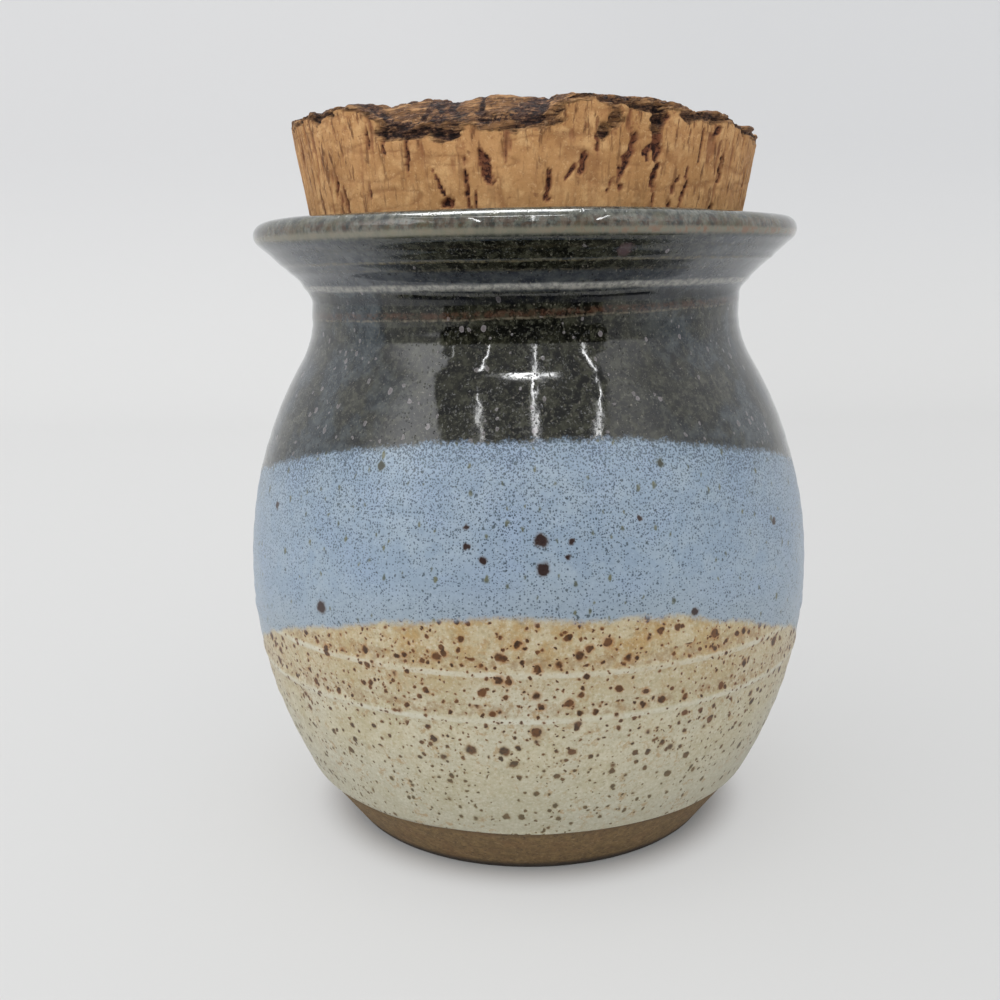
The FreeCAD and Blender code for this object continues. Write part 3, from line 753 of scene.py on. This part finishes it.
class JarWall:
    """What the jar's glazes share: places, noises, and the lines where one was dipped over another."""

    def __init__(self, g):
        self.g = g
        self.place, x, y, self.z = object_place(g)
        reach = g.most(g.from_axis(x, y), 0.5)
        self.front = g.math("DIVIDE", g.times(y, -1.0), reach)
        self.right = g.math("DIVIDE", x, reach)
        self.broad = g.noise(self.place, 18, 2)
        self.patchy = g.noise(self.place, 9, 3, 0.6)
        self.medium = g.noise(self.place, 4.5, 3, 0.6)
        self.small = g.noise(self.place, 1.3, 2, 0.6)
        self.fine = g.noise(self.place, 0.55, 2, 0.6)
        self.cloudy = g.noise(self.place, 2.6, 4, 0.7)
        self.broken = g.ramp(g.noise(self.place, 1.1, 4, 0.75), 0.4, 0.6)
        wave = g.add("ShaderNodeTexNoise", {"Vector": self.place, "Scale": 0.9, "Detail": 2.0})
        self.wave = g.vector("SUBTRACT", wave.outputs[1], (0.5, 0.5, 0.5))
        self.warped = g.vector("MULTIPLY_ADD", self.wave, (1.1, 1.1, 1.1), self.place)
        # the wall laid flat, in millimetres round it and up it, so that specks lie in its surface
        around = g.times(g.heading(x, y), WALL_SPREAD)
        self.flat = g.add("ShaderNodeCombineXYZ", {"X": around, "Y": self.z}).outputs[0]
        self.frayed_flat = g.vector("MULTIPLY_ADD", self.wave, (0.9, 0.9, 0.9), self.flat)
        self.over_dark = self.above_dip(DARK_LINE, DARK_LINE_FALL, 2.0)
        self.over_blue = self.above_dip(BLUE_LINE, BLUE_LINE_FALL, 4.0)
        frayed = g.plus(g.sway(self.small, 1.8), g.sway(self.fine, 1.8))
        self.is_dark = g.ramp(g.plus(self.over_dark, frayed), -0.7, 0.7)
        self.is_blue = g.ramp(g.plus(self.over_blue, g.times(frayed, 0.5)), -0.8, 0.9)

    def above_dip(self, height, fall, wander):
        """How far a point is above a dip line, which is higher at the front."""
        g = self.g
        line = g.minus(height, g.times(g.math("SMOOTH_MIN", g.minus(1.0, self.front), 1.0, 0.3), fall))
        return g.minus(g.plus(self.z, g.plus(g.sway(self.broad, wander), g.sway(self.medium, 1.6))), line)

    def above_ridge(self, height, climb_right, wander):
        """How far a point is above a ridge that climbs to the right."""
        return self.g.plus(self.g.minus(self.z, self.g.linear(self.right, climb_right, height)), wander)

    def specks(self, size, low, high, wanted, soft=0.04, at=None):
        """Round specks: where they are, how deep inside one a point is, and which cells have one."""
        g = self.g
        distance, chance, width = g.cells(at or self.frayed_flat, size)
        inside = g.minus(g.linear(g.times(width, width), high - low, low), distance)
        kept = g.math("GREATER_THAN", wanted, chance)
        return g.times(g.ramp(inside, -soft, soft), kept), inside, kept

    def spots(self, listed):
        """1 in the middle of each listed spot, falling to 0 at its rim and below 0 beyond."""
        g = self.g
        found = []
        for angle, height, radius in listed:
            away = g.vector("DISTANCE", self.warped, on_jar(angle, height), output=1)
            found.append(g.linear(away, -1.0 / radius, 1.0))
        return g.most(*found)


def cream_glaze(g, wall):
    """Cloudy cream, warmer under the blue, with iron burnt through it; and where the iron is."""
    z, patchy, medium, small, fine = wall.z, wall.patchy, wall.medium, wall.small, wall.fine
    under_line = g.times(wall.over_blue, -1.0)
    warm = g.times(g.ramp(under_line, 17.0, 1.5), g.ramp(wall.front, 0.6, 0.96),
                   g.ramp(g.noise(wall.place, 4.5, 4, 0.75), 0.4, 0.64), 0.85)
    stained = g.ramp(g.plus(patchy, g.ramp(under_line, 30.0, 4.0, 0.0, 0.16)), 0.46, 0.6, 0.15, 0.7)
    cream = g.coats(
        g.between(medium, 0.32, 0.68, (191, 183, 157), (173, 162, 127)),
        (patchy, 0.42, 0.66, 0.55, (190, 186, 168)),
        (g.ramp(z, 14, 34, 0.6, 0.0), (172, 170, 151)),
        (warm, (168, 130, 68)),
        (under_line, 18.0, 2.0, 0.35, (180, 152, 98)),
        (g.times(g.ramp(g.noise(wall.place, 1.6, 3, 0.7), 0.52, 0.66), stained), (160, 128, 82)),
        (small, 0.5, 0.72, 0.3, (150, 140, 108)),
        (fine, 0.52, 0.72, 0.4, (206, 203, 188)),
        (fine, 0.48, 0.3, 0.35, (142, 132, 104)))
    gathered = []
    for height, climb_right in CREAM_RINGS:
        above = wall.above_ridge(height, climb_right, g.sway(small, 0.5))
        gathered.append(g.times(g.ramp(above, 0.5, 0.9), g.ramp(above, 3.3, 2.7)))
        pale = g.times(g.ramp(above, -0.9, -0.5), g.ramp(above, 0.6, 0.0))
        cream = g.mix(g.times(pale, g.ramp(medium, 0.36, 0.62, 0.2, 0.6)), cream, (206, 205, 190))
    gathered = g.most(*gathered)
    cream = g.mix(g.times(gathered, g.ramp(small, 0.4, 0.65), 0.45), cream, (138, 104, 66))
    crowd = g.plus(g.ramp(g.noise(wall.place, 10, 2), 0.35, 0.65, -0.2, 0.2),
                   g.plus(g.times(gathered, 0.25), g.ramp(z, 14, 40, -0.2, 0.05)))
    halos, cores = [], []
    for size, low, high, share in IRON_SPECKS:
        core, inside, kept = wall.specks(size, low, high, g.plus(crowd, share))
        cores.append(core)
        halos.append(g.times(g.ramp(inside, -0.11, 0.03), kept))
    listed = wall.spots(BROWN_SPOTS)
    core = g.most(*cores, g.ramp(listed, 0.0, 0.3))
    halo = g.most(*halos, g.ramp(listed, -0.7, 0.2))
    tiny = wall.specks(0.85, 0.1, 0.26, g.plus(crowd, 0.4), 0.1)[0]
    iron = g.mix(g.ramp(z, 36, 18, 0.0, 0.6), g.between(small, 0.35, 0.65, (42, 18, 0), (98, 56, 16)),
                 (98, 84, 50))
    spotted = g.coats(cream,
                      (tiny, 0.5, (136, 108, 66)),
                      (halo, 0.62, g.between(z, 24, 46, (140, 124, 84), (164, 108, 52))),
                      (core, 0.92, iron))
    return spotted, core


def blue_glaze(g, wall):
    """Pale blue peppered with blue-black; and where the pepper is."""
    patchy, medium, small, fine, over_dark = wall.patchy, wall.medium, wall.small, wall.fine, wall.over_dark
    crowding = g.times(g.ramp(over_dark, -27.0, -2.0, 0.3, 0.8), g.ramp(patchy, 0.34, 0.66, 0.7, 1.25))
    near_edge = g.ramp(over_dark, -6.0, 0.0, 0.0, 0.08)
    peppered = []
    for size, low, high, shift in BLUE_PEPPER:
        moved = g.vector("ADD", wall.flat, (shift, shift, 0.0))
        at = g.vector("MULTIPLY_ADD", wall.wave, (0.5, 0.5, 0.5), moved)
        distance, chance, width = g.cells(at, size)
        radius = g.plus(near_edge, g.linear(g.times(width, width), high - low, low))
        peppered.append(g.times(g.ramp(g.minus(radius, distance), -0.1, 0.1),
                                g.math("GREATER_THAN", crowding, chance)))
    dots = g.most(*peppered)
    bigger = wall.specks(1.7, 0.08, 0.17, g.times(crowding, 0.5), 0.05)[0]
    tall = g.vector("MULTIPLY", wall.frayed_flat, (1.0, 0.6, 1.0))
    olive, inside, kept = wall.specks(2.9, 0.05, 0.13, g.linear(patchy, 0.7, 0.1), 0.05, tall)
    listed = wall.spots(DARK_SPOTS)
    upper = g.ramp(wall.z, 72, 78)
    blue = g.coats(
        g.between(medium, 0.35, 0.65, (134, 152, 170), (147, 162, 175)),
        (patchy, 0.45, 0.68, 0.5, (130, 151, 180)),
        (g.times(g.ramp(wall.over_blue, 0.0, 10.0, 1.0, 0.0), 0.55), (146, 157, 164)),
        (fine, 0.55, 0.75, 0.35, (168, 182, 196)),
        (fine, 0.46, 0.32, 0.3, (112, 128, 142)),
        (dots, 0.8, g.between(small, 0.4, 0.6, (46, 62, 78), (72, 88, 96))),
        (bigger, 0.75, (50, 62, 66)),
        (g.times(g.ramp(inside, -0.08, 0.04), kept, 0.35), (112, 122, 104)),
        (olive, 0.8, g.between(small, 0.4, 0.6, (58, 62, 44), (96, 94, 58))),
        (g.ramp(listed, -0.35, 0.2, 0.0, 0.6), g.mix(upper, (88, 76, 68), (84, 90, 70))),
        (listed, 0.0, 0.3, 0.95, g.mix(upper, (48, 26, 20), (50, 50, 34))))
    return blue, dots


def dark_glaze(g, wall):
    """Olive-black with bubbles, paler away from the front, partly the glaze's own mottling and partly
    painted reflection; and where the bubbles are.
    """
    z, patchy, cloudy, small, front = wall.z, wall.patchy, wall.cloudy, wall.small, wall.front
    # paler slate, brown-grey and neck grey away from the front: partly the glaze's own mottling, partly
    # painted reflection of the pale room at the sides
    slate_and_reflection = g.times(g.ramp(patchy, 0.42, 0.6), g.ramp(front, 0.96, 0.76))
    brown = g.times(g.ramp(patchy, 0.5, 0.34), g.ramp(front, 0.95, 0.7))
    neck_grey_and_reflection = g.times(g.ramp(z, 108.6, 110.4), g.ramp(front, 0.95, 0.75))
    froth = g.times(g.ramp(patchy, 0.38, 0.62, 0.02, 0.3), g.ramp(z, 106, 102, 0.2, 1.0))
    bubble, bubble_inside, bubbled = wall.specks(2.3, 0.1, 0.24, froth, 0.03)
    blister, blister_inside, blistered = wall.specks(5.2, 0.07, 0.13, froth, 0.012)
    dark = g.coats(
        g.between(cloudy, 0.38, 0.62, (8, 8, 6), (41, 41, 31)),
        (small, 0.5, 0.7, 0.6, (63, 63, 52)),
        # these three layers are partly painted reflection of the pale room at the sides
        (slate_and_reflection, 0.66, g.between(cloudy, 0.35, 0.65, (44, 53, 60), (78, 86, 92))),
        (brown, 0.6, g.between(small, 0.35, 0.65, (54, 56, 52), (88, 88, 80))),
        (neck_grey_and_reflection, 0.7, g.between(cloudy, 0.35, 0.65, (76, 80, 88), (98, 100, 102))),
        (g.times(g.window(z, 109.2, 112.8, 0.5), 0.55),
         g.between(cloudy, 0.35, 0.65, (52, 56, 64), (80, 84, 90))),
        (wall.fine, 0.54, 0.72, 0.5, (92, 92, 82)),
        (g.times(wall.specks(1.5, 0.06, 0.2, 0.5, 0.06)[0], 0.6), (8, 8, 7)),
        (g.times(wall.specks(0.9, 0.05, 0.17, 0.3, 0.08)[0], 0.4), (138, 132, 122)),
        (bubble, 0.5, (142, 136, 138)),
        (g.times(g.ramp(bubble_inside, 0.05, 0.1), bubbled, 0.5), (80, 74, 72)),
        (blister, 0.7, (136, 130, 132)),
        (g.times(g.ramp(blister_inside, 0.02, 0.05), blistered, 0.55), (92, 84, 84)))
    # on the neck the glaze runs thin over each ridge and pools black between them
    for height, climb_right, width, plain, more, shade in NECK_RIDGES:
        away = g.size(wall.above_ridge(height, climb_right, g.sway(wall.medium, 0.7)))
        share = g.times(g.ramp(away, width, width * 0.25), g.linear(wall.broken, more, plain))
        dark = g.mix(share, dark, shade)
    dark = g.mix(g.ramp(wall.spots(FLARE_BLOTCH), 0.0, 0.3, 0.0, 0.6), dark, (92, 72, 74))
    return g.mix(g.ramp(z, 117.7, 118.9), dark, lip_glaze(g, wall)), bubble_inside, bubbled


def lip_glaze(g, wall):
    """Thin grey glaze on the lip, with a pale line and rust below it."""
    drips = g.noise(wall.place, 1.3, 4, 0.7, (1, 1, 1.6))
    low_lip = g.ramp(g.size(g.minus(wall.z, 119.0)), 0.9, 0.2)
    high_lip = g.ramp(g.size(g.minus(wall.z, 120.4)), 1.4, 0.3)
    rusty = g.times(g.ramp(wall.right, -0.1, 0.55, 0.15, 0.65), g.ramp(drips, 0.42, 0.62))
    return g.coats(
        g.between(drips, 0.36, 0.64, (56, 60, 58), (108, 109, 101)),
        (wall.medium, 0.45, 0.65, 0.5, (92, 88, 64)),
        (low_lip, 0.6, (134, 131, 114)),
        (g.times(high_lip, g.times(wall.broken, 0.45)), (92, 66, 50)),
        (g.times(low_lip, rusty), (122, 78, 56)))


def bare_clay(g, wall):
    """Brown stoneware with dark and pale grains, and painted shade at the very foot where it meets the
    floor.
    """
    return g.coats(
        g.between(wall.small, 0.3, 0.7, (126, 101, 62), (102, 80, 47)),
        (wall.medium, 0.45, 0.7, 0.4, (118, 84, 50)),
        (wall.fine, 0.56, 0.68, 0.75, (66, 50, 36)),
        (wall.fine, 0.42, 0.3, 0.5, (150, 127, 96)),
        (wall.z, 9.6, 11.2, 0.4, (78, 58, 42)),
        # painted shade: the lowest two millimetres of the foot go near black, standing in for the contact
        # shadow
        (wall.z, 2.4, 0.6, 0.88, (26, 19, 14)))


def glazed_stoneware():
    material, g = new_material("glazed_stoneware")
    wall = JarWall(g)
    is_blue, is_dark = wall.is_blue, wall.is_dark
    cream, core = cream_glaze(g, wall)
    blue, dots = blue_glaze(g, wall)
    dark, bubble_inside, bubbled = dark_glaze(g, wall)
    glazed = g.ramp(g.attribute("glazed"), 0.4, 0.6)
    inside = g.times(g.ramp(g.attribute("inner"), 0.3, 0.7), g.ramp(wall.z, 119.0, 117.0))
    colour = g.coats(cream, (is_blue, blue), (is_dark, dark),
                     (inside, g.between(wall.medium, 0.3, 0.7, (120, 118, 104), (140, 136, 118))))
    colour = g.mix(glazed, bare_clay(g, wall), colour)

    not_blue = g.minus(1.0, is_blue)
    gloss = g.mix(is_dark, g.mix(is_blue, grey(0.36), grey(0.3)),
                  g.between(wall.patchy, 0.4, 0.65, grey(0.045), grey(0.09)))
    gloss = g.mix(g.times(core, not_blue), gloss, grey(0.45))
    gloss = g.mix(glazed, grey(0.85), gloss)

    pinholes = wall.specks(0.62, 0.1, 0.34, g.ramp(wall.patchy, 0.4, 0.6, 0.15, 0.4), 0.16, wall.flat)[0]
    peel = g.minus(g.plus(g.times(g.noise(wall.place, 1.1, 2, 0.5), 0.007),
                          g.times(g.noise(wall.place, 3.4, 1), 0.04)),
                   g.times(g.times(pinholes, is_dark), 0.028),
                   g.times(g.times(core, 0.03), not_blue),
                   g.times(g.times(dots, 0.012), g.times(is_blue, g.minus(1.0, is_dark))))
    peel = g.plus(peel, g.times(g.times(bubbled, is_dark), g.ramp(bubble_inside, -0.02, 0.06, 0.0, 0.03)))
    sand = g.times(g.plus(wall.fine, wall.small), 0.07)
    relief = g.plus(g.times(peel, glazed), g.times(sand, g.minus(1.0, glazed)))
    g.surface(colour, gloss, relief, IOR=1.6)
    return material


def cut_cork(g, place, x, z, medium, fine, streaks):
    """The cut side: long streaks, fine growth lines, and lenticels that are rusty inside."""
    pit = g.attribute("pit")
    wide_streaks = g.noise(place, 2.6, 2, 0.6, (1, 1, 6))
    most_streaked = g.most(g.ramp(g.size(x), 14, 38), g.ramp(z, 126, 137))
    crumbled = g.times(g.ramp(g.noise(place, 1.1, 4, 0.75), 0.52, 0.64), g.ramp(z, 129, 136, 0.1, 0.6))
    hollow = g.between(g.noise(place, 0.9, 3, 0.7), 0.4, 0.6, (50, 26, 20), (124, 76, 52))
    return g.coats(
        g.between(g.noise(place, 9, 3), 0.35, 0.65, (190, 144, 95), (172, 127, 80)),
        (z, 134, 116, 0.35, (202, 160, 108)),
        (medium, 0.5, 0.66, 0.6, (214, 172, 120)),
        (wide_streaks, 0.5, 0.7, 0.45, (156, 108, 68)),
        (g.times(g.ramp(streaks, 0.53, 0.68), g.linear(most_streaked, 0.6, 0.3)), (98, 62, 38)),
        (crumbled, (142, 92, 58)),
        (g.times(g.attribute("lines"), 0.55), (136, 92, 56)),
        (fine, 0.6, 0.75, 0.5, (146, 104, 66)),
        (fine, 0.42, 0.3, 0.35, (222, 184, 132)),
        (g.ramp(g.noise(place, 1.7, 2, 0.6), 0.66, 0.78, 0.0, 0.7), (126, 84, 54)),
        (pit, 0.03, 0.4, 0.6, (134, 84, 54)),
        (g.ramp(pit, 0.3, 0.85), hollow))


def torn_bark(g, place, x, medium, fine):
    """Thin brown flakes, nearly black in the crevices; and the flakes' own noise."""
    tilted = g.vector("MULTIPLY_ADD", g.add("ShaderNodeCombineXYZ", {"Z": x}).outputs[0],
                      (0, 0, -0.09), place)
    layered = g.noise(tilted, 1.0, 4, 0.7, (6, 6, 0.8))
    crumbs = g.noise(tilted, 0.7, 3, 0.75, (2.2, 2.2, 0.7))
    deep = g.coats(g.between(crumbs, 0.42, 0.58, (30, 18, 17), (84, 58, 45)),
                   (crumbs, 0.57, 0.66, 0.75, (168, 128, 92)))
    in_crevice = g.ramp(g.linear(crumbs, -0.5, g.plus(g.attribute("crevice"), 0.25)), 0.2, 0.6)
    flakes = g.coats(
        g.between(medium, 0.3, 0.7, (104, 72, 48), (162, 120, 78)),
        (g.ramp(g.noise(place, 5, 3, 0.6), 0.5, 0.7, 0.0, 0.5), (120, 90, 78)),
        (g.ramp(g.size(g.minus(layered, 0.5)), 0.05, 0.0, 0.0, 0.85), (58, 38, 32)),
        (layered, 0.54, 0.64, 0.8, (192, 150, 106)),
        (fine, 0.55, 0.75, 0.5, (74, 52, 42)),
        (fine, 0.42, 0.3, 0.5, (186, 150, 112)),
        (in_crevice, deep))
    return flakes, layered


def natural_cork():
    material, g = new_material("natural_cork")
    place, x, _, z = object_place(g)
    medium = g.noise(place, 2.4, 3, 0.6)
    fine = g.noise(place, 0.6, 2, 0.6)
    streaks = g.noise(place, 1.0, 3, 0.6, (1, 1, 8))
    bark = g.attribute("bark")
    flakes, layered = torn_bark(g, place, x, medium, fine)
    colour = g.mix(bark, cut_cork(g, place, x, z, medium, fine, streaks), flakes)
    relief = g.plus(g.times(medium, 0.14), g.plus(g.times(streaks, 0.24), g.times(fine, 0.1)))
    relief = g.plus(relief, g.times(bark, g.linear(layered, 0.9, g.times(fine, 0.25))))
    rough = g.between(fine, 0.3, 0.7, grey(0.7), grey(0.92))
    g.surface(colour, rough, relief, **{"Specular IOR Level": 0.3})
    return material


# ---------------------------------------------------------------- the studio
PAPER_FRONT, PAPER_BACK = -1.6, 0.62      # metres
PAPER_BEND = 0.22
PAPER_TOP = 1.3
PAPER_HALF_WIDTH = 2.0
BEND_STEPS = 16


def backdrop_mesh():
    """A paper that lies under the jar and curves up behind it."""
    side = [(PAPER_FRONT, 0.0), (PAPER_BACK, 0.0)]
    for step in range(1, BEND_STEPS + 1):
        turn = math.radians(90 * step / BEND_STEPS)
        side.append((PAPER_BACK + PAPER_BEND * math.sin(turn), PAPER_BEND * (1 - math.cos(turn))))
    side.append((PAPER_BACK + PAPER_BEND, PAPER_TOP))
    vertices = [(x, y, z) for y, z in side for x in (-PAPER_HALF_WIDTH, PAPER_HALF_WIDTH)]
    faces = [(2 * i, 2 * i + 1, 2 * i + 3, 2 * i + 2) for i in range(len(side) - 1)]
    mesh = bpy.data.meshes.new("backdrop")
    mesh.from_pydata(vertices, [], faces)
    mesh.polygons.foreach_set("use_smooth", [True] * len(faces))
    return mesh


def backdrop_paper():
    """Pale paper that keeps the jar's shadow, with painted shade that darkens it a little to the right, and
    a painted dark reflection for the glazes.
    """
    material, g = new_material("backdrop_paper")
    _, x, y, z = object_place(g)
    path = g.add("ShaderNodeLightPath").outputs
    height = g.ramp(z, 0.0, 250.0)
    across = g.from_axis(x, y)
    # painted reflection: for glossy rays the paper is painted near black beyond a line in front of the jar,
    # so the glazes mirror a dark floor there
    facing = g.degrees(g.size(g.heading(x, y)))
    beyond = g.minus(across, g.linear(facing, 0.45, 92.5))
    sides = g.blend(g.ramp(across, 135.0, 175.0), g.ramp(facing, 74.0, 71.0), g.ramp(facing, 66.0, 12.0))
    painted_dark_reflection = g.times(g.ramp(beyond, -2.0, 2.0), sides, path["Is Glossy Ray"])
    colour = g.coats((0.66, 0.66, 0.655, 1), (height, (0.655, 0.657, 0.665, 1)), (painted_dark_reflection, grey(0.01)))
    lit = g.add("ShaderNodeBsdfDiffuse", {"Color": colour})
    # to the camera a part of its paleness is its own, but not close to the foot
    # painted shade: the paper's own paleness falls off towards the right
    painted_shade_right = g.ramp(x, -120.0, 200.0)
    floor = g.mix(painted_shade_right, (0.775, 0.775, 0.77, 1), (0.70, 0.70, 0.695, 1))
    wall = g.mix(painted_shade_right, (0.715, 0.715, 0.72, 1), (0.65, 0.655, 0.665, 1))
    pale = g.add("ShaderNodeEmission", {"Color": g.mix(height, floor, wall)})
    share = g.times(path["Is Camera Ray"], g.ramp(across, 38.5, 49.0, 0.0, 0.6))
    shader = g.add("ShaderNodeMixShader", {0: share, 1: lit.outputs[0], 2: pale.outputs[0]})
    g.add("ShaderNodeOutputMaterial", {"Surface": shader.outputs[0]})
    return material


def sweep_backdrop():
    mesh = backdrop_mesh()
    mesh.materials.append(backdrop_paper())
    obj = bpy.data.objects.new("backdrop", mesh)
    bpy.context.scene.collection.objects.link(obj)


# Panels to both sides: azimuth of the near and the far edge, strength.
PANELS = [(-20, -74, 2.6), (20, 68, 1.35)]
# Lamps in front, in degrees: right of straight ahead from and to, up from and to, strength.
LAMPS = [
    (-18.6, -18.1, 25, 51, 30.0), (2.5, 3.0, 25, 58, 32.0), (26.2, 26.9, 24, 50, 26.0),
    (-35.2, -34.8, 24, 32, 9.0), (-15.5, 12.0, 56.4, 57.7, 30.0), (-32.0, 14.0, 55.5, 58.5, 3.5),
]


def mirrored_room(g, x, y, z):
    """What the glazes mirror: panels to both sides, a dark figure and lamps in front."""
    azimuth = g.degrees(g.heading(x, y))
    elevation = g.degrees(g.math("ARCSINE", z))
    lateral = g.degrees(g.math("ARCSINE", x))
    ahead = g.ramp(y, 0.05, -0.05)
    level = g.ramp(g.size(azimuth), 100, 140, 0.8, 1.15)
    low = g.times(g.ramp(elevation, 20, 12), g.ramp(g.size(azimuth), 120, 80))
    level = g.times(level, g.linear(low, -0.4, 1.0))
    for near, far, strength in PANELS:
        panel = g.times(g.ramp(azimuth, near, near * 1.2), g.ramp(azimuth, far * 1.16, far * 0.82))
        level = g.blend(g.times(panel, g.window(elevation, 18, 60, 4.0)), level, strength)
    level = g.blend(g.ramp(elevation, 60, 72), level, 0.85)
    left_edge = g.ramp(elevation, 18, 36, -44, -35)
    right_edge = g.ramp(elevation, 18, 36, 39, 30)
    figure = g.times(g.ramp(g.minus(lateral, left_edge), -1.0, 1.0),
                     g.ramp(g.minus(right_edge, lateral), -1.0, 1.0), ahead, g.ramp(elevation, 74, 64))
    level = g.blend(figure, level, g.ramp(elevation, 20, 25, 0.015, 0.4))
    for left, right, bottom, top, strength in LAMPS:
        lamp = g.times(g.window(lateral, left, right, 0.3), g.window(elevation, bottom, top, 0.7), ahead)
        level = g.blend(lamp, level, g.most(level, strength))
    over = g.degrees(g.math("ARCTAN2", z, g.times(y, -1.0)))
    overhead = g.times(g.window(lateral, -23, 10, 2.0), g.window(over, 90, 112, 3.0))
    return g.blend(overhead, level, 13.0)


def studio_world():
    """Plain light, a little brighter from the left and the front; glossy rays see the room."""
    world = bpy.data.worlds.new("studio")
    bpy.context.scene.world = world
    world.use_nodes = True
    g = Graph(world.node_tree)
    x, y, z = g.apart(g.add("ShaderNodeTexCoord").outputs["Generated"])
    path = g.add("ShaderNodeLightPath").outputs
    plain = g.linear(y, -0.34, g.linear(x, -0.4, 1.16))
    level = g.blend(path["Is Glossy Ray"], plain, mirrored_room(g, x, y, z))
    lit = g.add("ShaderNodeBackground", {"Color": (0.98, 0.99, 1.0, 1), "Strength": level})
    seen = g.add("ShaderNodeBackground", {"Color": (0.72, 0.725, 0.735, 1), "Strength": 1.0})
    mixed = g.add("ShaderNodeMixShader", {0: path["Is Camera Ray"], 1: lit.outputs[0], 2: seen.outputs[0]})
    g.add("ShaderNodeOutputWorld", {"Surface": mixed.outputs[0]})


CAMERA_PLACE = (-5.59, -241.3, 113.4)
CAMERA_PITCH, CAMERA_ROLL = 0.1999, 0.0155      # radians


def make_camera():
    """Close to the jar, a little above its shoulder, tipped down and slightly rolled."""
    forward = Vector((0, math.cos(CAMERA_PITCH), -math.sin(CAMERA_PITCH)))
    up = Vector((0, math.sin(CAMERA_PITCH), math.cos(CAMERA_PITCH)))
    right = Vector((1, 0, 0))
    leaned_right = math.cos(CAMERA_ROLL) * right - math.sin(CAMERA_ROLL) * up
    leaned_up = math.sin(CAMERA_ROLL) * right + math.cos(CAMERA_ROLL) * up
    data = bpy.data.cameras.new("camera")
    data.sensor_width = 36.0
    data.lens = 41.4
    data.clip_start = 0.01
    data.clip_end = 20
    camera = bpy.data.objects.new("camera", data)
    bpy.context.scene.collection.objects.link(camera)
    turned = Matrix((leaned_right, leaned_up, -forward)).transposed()
    camera.matrix_world = Matrix.Translation(Vector(CAMERA_PLACE) * MM) @ turned.to_4x4()
    bpy.context.scene.camera = camera


make_camera()
studio_world()
sweep_backdrop()

jar = make_jar_mesh()
jar.data.materials.append(glazed_stoneware())
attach(jar, "root")
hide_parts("jar")

stopper = make_cork_mesh()
stopper.data.materials.append(natural_cork())
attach(stopper, "root")
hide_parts("cork_lid")

bpy.context.scene.view_settings.view_transform = "Standard"
